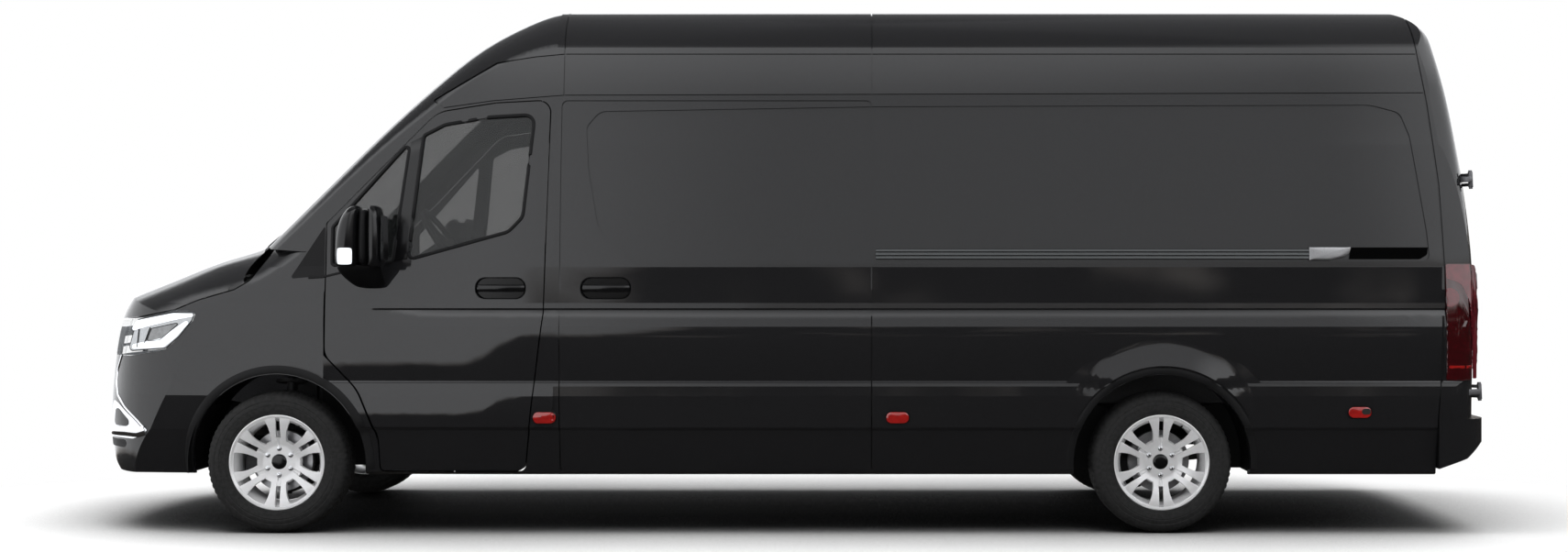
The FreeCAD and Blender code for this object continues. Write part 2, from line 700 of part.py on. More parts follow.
def rear_frame(body):
    points = [(x + SEAT_GAP / 2, z) for x, z in CORNER_SEAM] + [(3800, 2800), (3800, 200)]
    frame = body.shell.common(wide_prism(points))
    groove = body.groove(wide_prism(points, 1), wide_prism(points, -PANEL_GAP))
    frame = frame.cut(groove.common(block(3000, 3300, -BODY_LIMIT, BODY_LIMIT, 740, 2800)))
    for door in (REAR_DOOR, flipped(REAR_DOOR)):
        frame = frame.cut(prism_x(door, 2900, 3800, PANEL_GAP / 2))
    gap = block(2900, 3800, -10, 10, DOOR_SILL_Z - PANEL_GAP / 2, REAR_DOOR_TOP + PANEL_GAP / 2)
    frame = frame.cut(gap).cut(block(2900, 3800, -BODY_LIMIT, BODY_LIMIT, 100, BUMPER_TOP_Z + SEAT_GAP))
    for side in (LEFT, RIGHT):
        y0, y1 = sorted((side * LAMP_INNER_Y, side * BODY_LIMIT))
        frame = frame.cut(block(3000, 3800, y0, y1, 100, LAMP_FOOT_Z + SEAT_GAP))
        frame = frame.cut(prism_y(TAIL_LAMP, side * (LAMP_INNER_Y - SEAT_GAP), side * BODY_LIMIT, SEAT_GAP))
    return frame


def tail_lamp(body):
    return body.shell.common(prism_y(TAIL_LAMP, -LAMP_INNER_Y, -BODY_LIMIT))


def rear_door(body):
    door = body.shell.common(prism_x(flipped(REAR_DOOR), 2900, 3800, -PANEL_GAP / 2))
    recess = prism_x(flipped(REAR_DOOR_RECESS), 3000, 3800).cut(body.recess_base)
    step = block(2900, 3372, -24, 0, 500, 2500)
    return door.cut(recess).cut(step)


def arch_lip(x, skin, hollow):
    """Raised edge round a wheel arch, between the arch and the lip's outer circle."""
    ring = tube_y(ARCH_RADIUS + ARCH_LIP, x, WHEEL_Z, -600, -BODY_LIMIT).cut(arch_cut(x))
    return ring.common(skin.cut(hollow))


def wing(body):
    panel = body.nose_shell.common(prism_y(WING, -400, -BODY_LIMIT, -SEAT_GAP / 2))
    panel = panel.fuse(body.nose_lip.common(prism_y(WING, -400, -BODY_LIMIT, -SEAT_GAP / 2)))
    tail = body.shell.common(prism_y(WING_TAIL, -400, -BODY_LIMIT))
    clear = left_prism(FRONT_DOOR, PANEL_GAP / 2)
    bonnet_gap = prism_y(BONNET, -BODY_LIMIT, 0, PANEL_GAP / 2)
    return panel.fuse(tail).cut(arch_cut(X_FRONT_AXLE)).cut(clear).cut(bonnet_gap)


def ahead_of_cowl(back):
    """Everything ahead of the bonnet's bowed rear edge, moved back by a distance."""
    side = BONNET_REAR_SIDE + V(back, 0, 0)
    middle = BONNET_REAR_MIDDLE + V(back, 0, 0)
    far = V(side.x, -side.y, 0)
    front = [V(-3800, -side.y, 0), V(-3800, side.y, 0)]
    edges = [Part.Arc(side, middle, far).toShape(), line(far, front[0]), line(*front), line(front[1], side)]
    wide = block(-3800, side.x, -BODY_LIMIT, BODY_LIMIT, 0, 2000)
    inner = block(-3900, -2000, -side.y, side.y, -10, 2010)
    return Part.Face(Part.Wire(edges)).extrude(V(0, 0, 2000)).fuse(wide.cut(inner))


def bonnet(body):
    lid = body.nose_shell.common(wide_prism(BONNET, -PANEL_GAP / 2))
    return lid.common(ahead_of_cowl(0)).cut(body.cab_outer)


def headlamp(body):
    thick = body.nose_outer.cut(nose(60))
    lamp = thick.common(prism_y(HEADLAMP, -HEADLAMP_INNER_Y, -BODY_LIMIT, -SEAT_GAP / 2))
    return lamp.cut(prism_y(BONNET, -BODY_LIMIT, 0, PANEL_GAP / 2))


def towing_socket():
    """Boss behind the bumper skin and the flat-mouthed threaded bore cut into it."""
    mouth = V(TOWING_X, TOWING_Y, TOWING_Z)
    ahead = V(-60, 0, 0)
    boss = Part.makeCylinder(24, TOWING_LENGTH + 12, mouth, V(1, 0, 0))
    bore = Part.makeCylinder(TOWING_RADIUS, TOWING_LENGTH, mouth, V(1, 0, 0))
    recess = Part.makeCylinder(19, 60, mouth + ahead, V(1, 0, 0))
    return boss, bore.fuse(recess)


def front_bumper(body):
    cover = body.nose_shell.common(wide_prism(BUMPER, -SEAT_GAP / 2))
    cover = cover.cut(prism_x(GRILLE, -3700, -3000)).cut(prism_x(INTAKE, -3700, -3000))
    for lip in (body.nose_lip, mirrored(body.nose_lip)):
        cover = cover.fuse(lip.common(wide_prism(BUMPER, -SEAT_GAP / 2)))
    for side in (LEFT, RIGHT):
        inner = side * (HEADLAMP_INNER_Y - SEAT_GAP)
        cover = cover.cut(prism_y(HEADLAMP, inner, side * BODY_LIMIT, SEAT_GAP / 2))
        cover = cover.cut(tube_y(ARCH_RADIUS, X_FRONT_AXLE, WHEEL_Z, side * 500, side * BODY_LIMIT))
    boss, bore = towing_socket()
    return cover.cut(block(-2700, -2000, -BODY_LIMIT, BODY_LIMIT, 100, 900)).fuse(boss).cut(bore)


def grille():
    band = nose(4).cut(nose(20))
    face = band.common(prism_x(GRILLE, -3700, -3000, -SEAT_GAP))
    slot_height = 40.0
    pitch = 54.0
    for index in range(5):
        low = 690 + index * pitch
        for y0, y1 in ((-425, -18), (18, 425)):
            face = face.cut(block(-3700, -3000, y0, y1, low, low + slot_height))
    lower = band.common(prism_x(INTAKE, -3700, -3000, -SEAT_GAP))
    for index in range(2):
        low = 440 + index * 55
        for y0, y1 in ((-395, -15), (15, 395)):
            lower = lower.cut(block(-3700, -3000, y0, y1, low, low + slot_height))
    return Part.makeCompound([face, lower])


def windscreen(body):
    return body.glass.common(prism_x(WINDSCREEN, -2900, -1450, -SEAT_GAP))


def bumper_block(inset):
    """Rear bumper's outer form with round corners and a slight bow, inset by a wall."""
    radius = 170.0
    side = HALF - 4 - inset
    back = X_REAR - 18 - inset
    bend = radius * (1 - math.sqrt(0.5))
    start = 3000.0 if inset > 0 else CORNER_SEAM[0][0] + SEAT_GAP
    edges = []
    for y in (side, -side):
        turn = math.copysign(1, y)
        first = V(back - radius, y, 0)
        middle = V(back - bend, y - turn * bend, 0)
        last = V(back, y - turn * radius, 0)
        edges.append(line(V(start, y, 0), first))
        edges.append(Part.Arc(first, middle, last).toShape())
    edges.append(Part.Arc(V(back, side - radius, 0), V(back + 18, 0, 0), V(back, radius - side, 0)).toShape())
    edges.append(line(V(start, side, 0), V(start, -side, 0)))
    face = Part.Face(Part.Wire(Part.__sortEdges__(edges)))
    face.translate(V(0, 0, 200))
    solid = face.extrude(V(0, 0, BUMPER_TOP_Z - 200))
    under = [(2900, 300 + inset), (3206, 315 + inset), (3354, 368 + inset), (3440, 440 + inset, 30),
             (3600, 470 + inset), (3600, 2000), (2900, 2000)]
    return solid.common(wide_prism(under))


def rear_bumper(body):
    bumper = bumper_block(0).cut(bumper_block(45))
    foot, head = CORNER_SEAM[1:3]
    tower = [(foot[0] + SEAT_GAP, BUMPER_TOP_Z), (head[0] + SEAT_GAP, LAMP_FOOT_Z), (3600, LAMP_FOOT_Z),
             (3600, BUMPER_TOP_Z)]
    towers = body.shell.common(wide_prism(tower))
    lamp_edge = LAMP_INNER_Y + SEAT_GAP
    return bumper.fuse(towers.cut(block(3000, 3800, -lamp_edge, lamp_edge, 500, 800)))


def cowl(body):
    """Panel between the bonnet and the windscreen."""
    strip = body.nose_shell.cut(body.cab_outer).cut(ahead_of_cowl(PANEL_GAP))
    return strip.common(block(-2900, -2508, -790, 790, 1350, 1700))


def front_wheelhouse(side):
    """Space of one front wheel and its liner."""
    radius = LINER_RADIUS + LINER_THICKNESS + SEAT_GAP
    return tube_y(radius, X_FRONT_AXLE, WHEEL_Z, side * (LINER_INNER_Y - SEAT_GAP), side * 1000)


def cab_frame(body):
    """Firewall, shelf under the cowl and the inner posts that carry the front doors."""
    frame = block(-2360, FIREWALL_X, -960, 960, LOAD_FLOOR_Z - 80, 1330)
    frame = frame.fuse(block(-2640, FIREWALL_X, -800, 800, 1290, 1392))
    frame = frame.cut(block(-2600, -2370, -780, 780, 1320, 1400))
    for side in (LEFT, RIGHT):
        y0, y1 = sorted((side * 820, side * 885))
        frame = frame.fuse(block(FIREWALL_X, -2230, y0, y1, LOAD_FLOOR_Z - 80, 1230))
        frame = frame.cut(front_wheelhouse(side))
    room = body.nose_room.fuse(body.room.common(block(-2335, -1500, -1000, 1000, 300, 1400)))
    wall = body.outer.cut(body.room)
    return frame.common(room).cut(wall).cut(ahead_of_cowl(PANEL_GAP))


def floor_pan(body):
    load = block(-1110, 3330, -1000, 1000, LOAD_FLOOR_Z - FLOOR_THICKNESS, LOAD_FLOOR_Z)
    load = load.common(body.room)
    cab = block(FIREWALL_X, -1110, -CAB_FLOOR_HALF, CAB_FLOOR_HALF, LOAD_FLOOR_Z - 80, LOAD_FLOOR_Z - 50)
    riser = block(-1140, -1110, -925, 925, LOAD_FLOOR_Z - 80, LOAD_FLOOR_Z)
    pan = load.fuse([cab, riser])
    rail_top = LOAD_FLOOR_Z - FLOOR_THICKNESS
    for side in (LEFT, RIGHT):
        y0, y1 = sorted((side * 800, side * 860))
        pan = pan.fuse(block(-1940, 1400, y0, y1, 330, rail_top))
        y0, y1 = sorted((side * RAIL_INNER_Y, side * RAIL_OUTER_Y))
        pan = pan.fuse(block(-1140, 3330, y0, y1, RAIL_Z, rail_top))
        pan = pan.fuse(block(-3250, -1140, y0, y1, RAIL_Z, LOAD_FLOOR_Z - 80))
        house = tube_y(ARCH_RADIUS + 33, X_REAR_AXLE, WHEEL_Z, side * 680, side * 1000)
        hollow = tube_y(ARCH_RADIUS + 13, X_REAR_AXLE, WHEEL_Z, side * 700, side * 1010)
        house = house.cut(block(0, 3400, -1000, 1000, -300, LOAD_FLOOR_Z - 20)).common(body.room)
        pan = pan.fuse(house).cut(hollow).cut(front_wheelhouse(side))
    for x in CROSS_MEMBERS:
        pan = pan.fuse(block(x, x + 60, -RAIL_OUTER_Y, RAIL_OUTER_Y, CROSS_MEMBER_Z, CROSS_MEMBER_Z + 55))
    return pan


def wheel_liners(body):
    """Shells inside the front arches, open inboard for the strut and the lower arms."""
    outer = tube_y(LINER_RADIUS + LINER_THICKNESS, X_FRONT_AXLE, WHEEL_Z, -LINER_INNER_Y, -1000)
    inner = tube_y(LINER_RADIUS, X_FRONT_AXLE, WHEEL_Z, -LINER_INNER_Y - LINER_THICKNESS, -1010)
    liner = outer.cut(inner).common(block(X_FRONT_AXLE - 460, X_FRONT_AXLE + 390, -1000, 0, 480, 900))
    strut_window = block(X_FRONT_AXLE - 120, X_FRONT_AXLE + 107, -745, -500, 400, 900)
    bay_window = block(X_FRONT_AXLE - 500, X_FRONT_AXLE + 107, -LINER_INNER_Y - 30, -500, 400, 900)
    behind = block(WING_SPLIT_X - SEAT_GAP, -1500, -BODY_LIMIT, 0, 200, 1400)
    room = body.nose_room.cut(behind).fuse(body.room.common(behind))
    return both_sides(liner.cut(strut_window).cut(bay_window).common(room))


# Wheels
def tyre(x, side):
    half = TYRE_WIDTH / 2
    profile = [(RIM_RADIUS - 18, -half + 24), (RIM_RADIUS + 6, -half + 12), (RIM_RADIUS + 45, -half),
               (TYRE_RADIUS - 42, -half + 3), (TYRE_RADIUS - 10, -half + 20), (TYRE_RADIUS, -half + 40),
               (TYRE_RADIUS, half - 40), (TYRE_RADIUS - 10, half - 20), (TYRE_RADIUS - 42, half - 3),
               (RIM_RADIUS + 45, half), (RIM_RADIUS + 6, half - 12), (RIM_RADIUS - 18, half - 24)]
    return lathe_y(profile, x, WHEEL_Z, side, side * WHEEL_Y)


def rim(x, side):
    half = TYRE_WIDTH / 2
    barrel = [(RIM_RADIUS - 18 - SEAT_GAP, -half + 24), (RIM_RADIUS, -half + 12), (RIM_RADIUS, -half + 6),
              (RIM_RADIUS - 12, -half + 6), (RIM_RADIUS - 34, -half + 60), (RIM_RADIUS - 36, half - 60),
              (RIM_RADIUS - 12, half - 10), (RIM_RADIUS, half - 10), (RIM_RADIUS, half - 14),
              (RIM_RADIUS - 18 - SEAT_GAP, half - 24), (RIM_RADIUS - 26, half - 50),
              (RIM_RADIUS - 26, -half + 50)]
    face_profile = [(0, 30), (75, 30), (110, 44), (150, 62), (RIM_RADIUS - 20, 78), (RIM_RADIUS - 20, 92),
                    (150, 84), (110, 70), (85, 52), (38.5, 52), (38.5, 62), (0, 66)]
    face = lathe_y(face_profile, 0, 0, side, 0)
    for index in range(6):
        angle = index * 60
        slot = block(-15, 15, -200, 200, 123, 222)
        slot.rotate(V(0, 0, 0), V(0, 1, 0), angle)
        face = face.cut(slot)
        window = prism_y([(-30, 118, 12), (30, 118, 12), (50, 214, 10), (-50, 214, 10)], -200, 200)
        window.rotate(V(0, 0, 0), V(0, 1, 0), angle + 30)
        face = face.cut(window)
    for index in range(6):
        angle = math.radians(index * 60)
        lug_x = LUG_CIRCLE_RADIUS * math.sin(angle)
        lug_z = LUG_CIRCLE_RADIUS * math.cos(angle)
        face = face.fuse(tube_y(11, lug_x, lug_z, side * 50, side * 66))
    disc = lathe_y([(38, -30), (150, -30), (150, -4), (90, -4), (90, 30.5), (0, 30.5), (0, 10), (38, 10)],
                   0, 0, side, 0)
    face = face.fuse(disc)
    ring = lathe_y(barrel, 0, 0, side, 0)
    wheel = face.fuse(ring)
    wheel.translate(V(x, side * WHEEL_Y, WHEEL_Z))
    return wheel


BALL = V(X_FRONT_AXLE, 768, 212)
STRUT_TOP = V(X_FRONT_AXLE, 638, 1050)


def along_kingpin(z):
    t = (z - BALL.z) / (STRUT_TOP.z - BALL.z)
    return BALL + (STRUT_TOP - BALL) * t


def knuckle():
    """Right upright, with the stub axle and the brake caliper."""
    hub_centre = V(X_FRONT_AXLE, WHEEL_Y, WHEEL_Z)
    carrier = tube_y(52, hub_centre.x, hub_centre.z, 715, 800)
    spindle = tube_y(20, hub_centre.x, hub_centre.z, 795, WHEEL_Y + 9.5)
    low = along_kingpin(232)
    high = along_kingpin(560)
    post = rod(22, low, high)
    clamp = rod(26, along_kingpin(470), along_kingpin(575))
    arm = block(X_FRONT_AXLE + 20, X_FRONT_AXLE + 150, 700, 725, 280, 310)
    caliper = block(X_FRONT_AXLE - 175, X_FRONT_AXLE - 95, 800, 872, 300, 420)
    disc_slot = tube_y(156, hub_centre.x, hub_centre.z, 819, 857)
    link = block(X_FRONT_AXLE - 130, X_FRONT_AXLE - 30, 775, 805, 320, 370)
    shape = carrier.fuse([spindle, post, clamp, arm, caliper.cut(disc_slot), link])
    return shape


def mirrored_point(point, side):
    return V(point.x, side * point.y, point.z)


def front_axle():
    """Cross member with the lower arms out to the ball joints."""
    x = X_FRONT_AXLE
    beam = block(x - 60, x + 60, -RAIL_OUTER_Y, RAIL_OUTER_Y, 250, 330)
    pieces = []
    for side in (LEFT, RIGHT):
        ball = mirrored_point(BALL, side)
        for reach in (-220, 200):
            pieces.append(rod(18, V(x + reach, side * 360, 270), ball + V(0, side * -12, -22)))
        y0, y1 = sorted((side * 340, side * RAIL_INNER_Y))
        pieces.append(block(x - 240, x + 220, y0, y1, 250, 300))
        low = mirrored_point(along_kingpin(BALL.z - 40), side)
        pieces.append(rod(22, low, mirrored_point(along_kingpin(BALL.z + 19.5), side)))
        y0, y1 = sorted((side * RAIL_INNER_Y, side * RAIL_OUTER_Y))
        pieces.append(block(x - 60, x + 60, y0, y1, 250, RAIL_Z))
    return beam.fuse(pieces)


def front_struts():
    """Struts with their spring seats under the towers that carry them."""
    x = X_FRONT_AXLE
    top = STRUT_TOP
    strut = rod(26, along_kingpin(575.5), top)
    strut = strut.fuse(rod(78, along_kingpin(720), along_kingpin(735)))
    cap = rod(90, V(x, top.y, top.z - 20), V(x, top.y - 2, top.z + 10))
    shelf = block(x - 90, x + 90, 420, top.y, 1035, 1060)
    post = block(x - 60, x + 60, 420, 460, LOAD_FLOOR_Z - 80, 1060)
    return both_sides(strut.fuse([cap, shelf, post]))


DIFF_NOSE_X = X_REAR_AXLE - 200.0


def rear_axle():
    """Beam axle with its differential, leaf springs and their hangers."""
    x = X_REAR_AXLE
    pieces = [tube_y(150, x - 20, WHEEL_Z, -95, 95), rod(50, V(x, 0, WHEEL_Z), V(DIFF_NOSE_X, 0, WHEEL_Z))]
    radius = 2200.0
    leaf_z = 300.0
    for side in (LEFT, RIGHT):
        y0, y1 = sorted((side * RAIL_INNER_Y, side * RAIL_OUTER_Y))
        outer = tube_y(radius, x, leaf_z + radius, y0, y1)
        inner = tube_y(radius - 30, x, leaf_z + radius, side * 390, side * 480)
        pieces.append(outer.cut(inner).common(block(x - 700, x + 700, -500, 500, 200, 700)))
        for reach in (-690, 650):
            pieces.append(block(x + reach, x + reach + 40, y0, y1, 400, RAIL_Z))
        pieces.append(tube_y(42, x, WHEEL_Z, side * 718, side * (WHEEL_Y - 33)))
        pieces.append(tube_y(20, x, WHEEL_Z, side * (WHEEL_Y - 34), side * (WHEEL_Y + 9.5)))
    return tube_y(45, x, WHEEL_Z, -720, 720).fuse(pieces)


def rounded_block(x0, x1, y0, y1, z0, z1, radius):
    return prism_y([(x0, z0, radius), (x1, z0, radius), (x1, z1, radius), (x0, z1, radius)], y0, y1)


def engine():
    shape = rounded_block(-3080, -2560, -260, 290, 420, 1040, 40)
    for y0, y1 in ((-RAIL_INNER_Y, -260), (290, RAIL_INNER_Y)):
        shape = shape.fuse(block(-2800, -2720, y0, y1, 490, 550))
    return shape


def driveline():
    gearbox = rounded_block(-2560, -1950, -150, 150, 345, 560, 40)
    shaft = rod(38, V(-1960, 0, 470), V(DIFF_NOSE_X - 10, 0, WHEEL_Z + 10))
    shaft = shaft.fuse(rod(42, V(DIFF_NOSE_X - 40, 0, WHEEL_Z), V(DIFF_NOSE_X - SEAT_GAP, 0, WHEEL_Z)))
    return gearbox.fuse(shaft)


def exhaust():
    pipe = rod(30, V(-2350, 330, 380), V(1500, 330, 380))
    muffler = Part.makeCylinder(90, 700, V(300, 330, 370), V(1, 0, 0))
    shape = pipe.fuse(muffler)
    for x in CROSS_MEMBERS[1:4]:
        shape = shape.fuse(block(x + 22, x + 38, 322, 338, 400, CROSS_MEMBER_Z))
    return shape


def fuel_tank():
    return rounded_block(-1000, 0, -790, -500, 330, LOAD_FLOOR_Z - FLOOR_THICKNESS, 60)


COLUMN_FOOT = V(-2060, -430, 1200)
COLUMN_END = V(-1770, -430, 1400)


def dashboard():
    profile = [(FIREWALL_X, 900, 20), (-2150, 880, 40), (-2060, 1010, 60), (-2010, 1250, 50),
               (-2120, 1335, 60), (FIREWALL_X, 1370, 20)]
    board = prism_y(profile, -805, 805)
    return board.fuse(rod(32, COLUMN_FOOT, COLUMN_END))


def steering_wheel():
    axis = COLUMN_END - COLUMN_FOOT
    axis.normalize()
    turn = FreeCAD.Placement(COLUMN_END + axis * SEAT_GAP, FreeCAD.Rotation(V(0, 0, 1), axis))
    section = [V(195 + 15 * math.cos(math.radians(a)), 0, 42 + 15 * math.sin(math.radians(a)))
               for a in range(0, 360, 45)]
    ring = Part.Face(Part.makePolygon(section + section[:1])).revolve(V(0, 0, 0), V(0, 0, 1), 360)
    wheel = ring.fuse(Part.makeCylinder(50, 50, V(0, 0, 0)))
    for angle in (90, 200, 340):
        spoke = Part.makeBox(175, 40, 14, V(20, -20, 34))
        spoke.rotate(V(0, 0, 0), V(0, 0, 1), angle)
        wheel = wheel.fuse(spoke)
    wheel.Placement = turn
    return wheel


def seat(y0, y1):
    cushion = rounded_block(-1560, -1062, y0, y1, 930, 1050, 40)
    back = rounded_block(-1057, -930, y0 + 10, y1 - 10, 930, 1600, 40)
    return Part.makeCompound([cushion, back])


def seat_bases():
    low = LOAD_FLOOR_Z - 50
    high = 930 - SEAT_GAP
    return Part.makeCompound([block(-1530, -1141, -600, -260, low, high).fuse(
        block(-1141, -940, -600, -260, 860, high)),
        block(-1530, -1141, 20, 780, low, high).fuse(block(-1141, -940, 20, 780, 860, high))])


def mirror(body):
    """Left mirror: two-part head on an arm that stands off the door below the window."""
    head = rounded_block(-2120, -1935, -1262, -1045, 1296, 1600, 60)
    arm = prism_x([(-900, 1222, 5), (-900, 1290, 5), (-1060, 1330, 5), (-1235, 1330, 30), (-1225, 1240, 40),
                   (-1100, 1222, 10)], -2105, -1950)
    return head.fuse(arm).cut(body.cab_outer)


def side_markers(body):
    pieces = []
    for x0, x1 in ((-1188, -1085), (524, 636), (2769, 2885)):
        pieces.append(block(x0, x1, -1014, -1000, 546, 592).cut(body.outer))
    return both_sides(Part.makeCompound(pieces))


def door_rails(body):
    return both_sides(block(475, 2780, -990, -950, 1330, 1390).cut(body.outer))


def main():
    os.makedirs("parts", exist_ok=True)
    body = Body()
    handed = {
        "side": side_panel(body), "front_door": front_door(body), "door_glass": door_glass(body),
        "sliding_door": sliding_door(body), "rear_door": rear_door(body), "wing": wing(body),
        "mirror": mirror(body),
    }
    for name, shape in handed.items():
        save(shape, name + "_left")
        save(mirrored(shape), name + "_right")
    upright = knuckle()
    save(mirrored(upright), "knuckle_left")
    save(upright, "knuckle_right")
    for side, name in ((LEFT, "left"), (RIGHT, "right")):
        for x, place in ((X_FRONT_AXLE, "front"), (X_REAR_AXLE, "rear")):
            save(tyre(x, side), "tyre_" + place + "_" + name)
            save(rim(x, side), "rim_" + place + "_" + name)
    single = {
        "sail_trims": both_sides(sail_trim(body)), "roof_front": roof_panel(body, -2200, X_CAP_SEAM),
        "roof_middle": roof_panel(body, X_CAP_SEAM, X_DOOR_SEAM),
        "roof_rear": roof_panel(body, X_DOOR_SEAM, 3300), "rear_frame": rear_frame(body),
        "tail_lamps": both_sides(tail_lamp(body)), "bonnet": bonnet(body),
        "headlamps": both_sides(headlamp(body)), "front_bumper": front_bumper(body), "grille": grille(),
        "windscreen": windscreen(body), "rear_bumper": rear_bumper(body), "cab_frame": cab_frame(body),
        "cowl": cowl(body), "floor_pan": floor_pan(body), "wheel_liners": wheel_liners(body),
        "front_axle": front_axle(), "front_struts": front_struts(), "rear_axle": rear_axle(),
        "engine": engine(),
        "driveline": driveline(), "exhaust": exhaust(), "fuel_tank": fuel_tank(),
        "dashboard": dashboard(), "steering_wheel": steering_wheel(), "driver_seat": seat(-640, -220),
        "passenger_seat": seat(-20, 820), "seat_bases": seat_bases(), "side_markers": side_markers(body),
        "door_rails": door_rails(body),
    }
    for name, shape in single.items():
        save(shape, name)


if __name__ == "__main__":
    main()
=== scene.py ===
import json
import math

import bmesh
import bpy
from mathutils import Matrix, Vector
from mathutils.bvhtree import BVHTree


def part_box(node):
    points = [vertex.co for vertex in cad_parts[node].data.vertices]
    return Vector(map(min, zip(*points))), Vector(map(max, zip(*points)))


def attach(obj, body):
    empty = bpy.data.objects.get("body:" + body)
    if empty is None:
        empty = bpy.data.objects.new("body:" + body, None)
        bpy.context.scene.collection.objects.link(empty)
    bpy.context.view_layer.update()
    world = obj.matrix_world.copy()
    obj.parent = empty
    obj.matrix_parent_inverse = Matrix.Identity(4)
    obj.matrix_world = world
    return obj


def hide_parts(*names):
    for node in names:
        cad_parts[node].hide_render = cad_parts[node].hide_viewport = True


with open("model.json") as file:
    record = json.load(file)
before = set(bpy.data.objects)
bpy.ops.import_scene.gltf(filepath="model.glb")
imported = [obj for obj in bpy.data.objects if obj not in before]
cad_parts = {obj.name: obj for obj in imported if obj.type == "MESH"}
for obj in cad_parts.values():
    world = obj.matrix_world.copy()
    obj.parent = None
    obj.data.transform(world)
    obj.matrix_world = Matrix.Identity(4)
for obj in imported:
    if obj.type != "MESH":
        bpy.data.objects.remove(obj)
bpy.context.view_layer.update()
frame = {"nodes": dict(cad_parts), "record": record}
nodes = frame["nodes"]

LEFT = -1
RIGHT = 1
SIDES = {"left": LEFT, "right": RIGHT}

# Camera, at the photograph's place
PHOTO_WIDTH = 1710
FOCAL_PIXELS = 2110
HORIZON_OFFSET = 3
CAMERA_PLACE = Vector((0.0285, -10.41, 1.27))
CAMERA_ASIDE = 0.33
NEAR_WIDTH = 7.616


def make_camera():
    data = bpy.data.cameras.new("camera")
    data.sensor_width = 36.0
    data.lens = FOCAL_PIXELS / PHOTO_WIDTH * data.sensor_width
    data.shift_x = -CAMERA_ASIDE / NEAR_WIDTH
    data.shift_y = -HORIZON_OFFSET / PHOTO_WIDTH
    camera = bpy.data.objects.new("camera", data)
    camera.location = CAMERA_PLACE + Vector((CAMERA_ASIDE, 0, 0))
    camera.rotation_euler = (math.radians(90), 0, 0)
    bpy.context.scene.collection.objects.link(camera)
    bpy.context.scene.camera = camera


# Node materials
class Shader:
    """A node material being built: nodes by type, links by socket name."""

    def __init__(self, name):
        self.material = bpy.data.materials.new(name)
        self.material.use_nodes = True
        self.tree = self.material.node_tree
        self.surface = self.tree.nodes["Principled BSDF"]

    def add(self, kind, **settings):
        node = self.tree.nodes.new(kind)
        for key, value in settings.items():
            setattr(node, key, value)
        return node

    def link(self, source, output, target, socket):
        self.tree.links.new(source.outputs[output], target.inputs[socket])

    def set(self, **values):
        for key, value in values.items():
            self.surface.inputs[key.replace("_", " ")].default_value = value

    def noise(self, scale):
        place = self.add("ShaderNodeTexCoord")
        noise = self.add("ShaderNodeTexNoise")
        noise.inputs["Scale"].default_value = scale
        noise.inputs["Detail"].default_value = 4.0
        noise.inputs["Roughness"].default_value = 0.5
        self.link(place, "Object", noise, "Vector")
        return noise

    def ramp(self, source, output, stops):
        ramp = self.add("ShaderNodeValToRGB")
        while len(ramp.color_ramp.elements) < len(stops):
            ramp.color_ramp.elements.new(0.5)
        for element, (place, colour) in zip(ramp.color_ramp.elements, stops):
            element.position = place
            element.color = colour
        self.link(source, output, ramp, "Fac")
        return ramp

    def bump(self, source, output, strength, distance):
        bump = self.add("ShaderNodeBump")
        bump.inputs["Strength"].default_value = strength
        bump.inputs["Distance"].default_value = distance
        self.link(source, output, bump, "Height")
        self.link(bump, "Normal", self.surface, "Normal")
        return bump

    def number(self, operation, *sources):
        """A number worked out from others, each a plain number or a node and its output."""
        node = self.add("ShaderNodeMath", operation=operation)
        for index, source in enumerate(sources):
            if isinstance(source, tuple):
                self.link(source[0], source[1], node, index)
            else:
                node.inputs[index].default_value = source
        return node, "Value"

    def span(self, source, low, high, start, end, kind="SMOOTHSTEP"):
        """start below low, end above high, and an even change between."""
        node = self.add("ShaderNodeMapRange", interpolation_type=kind)
        for name, value in (("From Min", low), ("From Max", high), ("To Min", start), ("To Max", end)):
            node.inputs[name].default_value = value
        self.link(source[0], source[1], node, "Value")
        return node, "Result"

    def mottle(self, scale, low, high):
        """Uneven colour between two values."""
        noise = self.noise(scale)
        ramp = self.ramp(noise, "Fac", [(0.35, low), (0.65, high)])
        self.link(ramp, "Color", self.surface, "Base Color")
        return noise


def grey(level):
    return (level, level, level, 1.0)


def shade(colour, factor):
    """The colour made darker or lighter."""
    return tuple(min(1.0, part * factor) for part in colour[:3]) + (1,)


# Pressed panels: between these heights a panel leans by the given rise, outwards where it is positive
PANEL_LEANS = [(0.672, 0.738, -0.0050), (1.125, 1.300, 0.0085)]


def paint_material():
    shader = Shader("body_paint")
    flakes = shader.mottle(900.0, (0.006, 0.006, 0.0068, 1), (0.010, 0.010, 0.0112, 1))
    place = shader.add("ShaderNodeTexCoord")
    split = shader.add("ShaderNodeSeparateXYZ")
    shader.link(place, "Object", split, "Vector")
    relief = shader.number("MULTIPLY", (flakes, "Fac"), 0.000004)
    for low, high, rise in PANEL_LEANS:
        lean = shader.span((split, "Z"), low, high, 0.0, rise, "LINEAR")
        relief = shader.number("ADD", relief, lean)
    lean = shader.bump(relief[0], relief[1], 1.0, 1.0)
    shader.link(lean, "Normal", shader.surface, "Coat Normal")
    shader.set(Roughness=0.5, Specular_IOR_Level=0.08, Coat_Weight=1.0, Coat_Roughness=0.03, Coat_IOR=1.5)
    return shader.material


def plastic_material(name, colour, roughness, grain, depth, gloss=0.5):
    shader = Shader(name)
    noise = shader.mottle(grain, shade(colour, 0.8), shade(colour, 1.25))
    shader.bump(noise, "Fac", 0.35, depth)
    shader.set(Roughness=roughness, Specular_IOR_Level=gloss)
    return shader.material


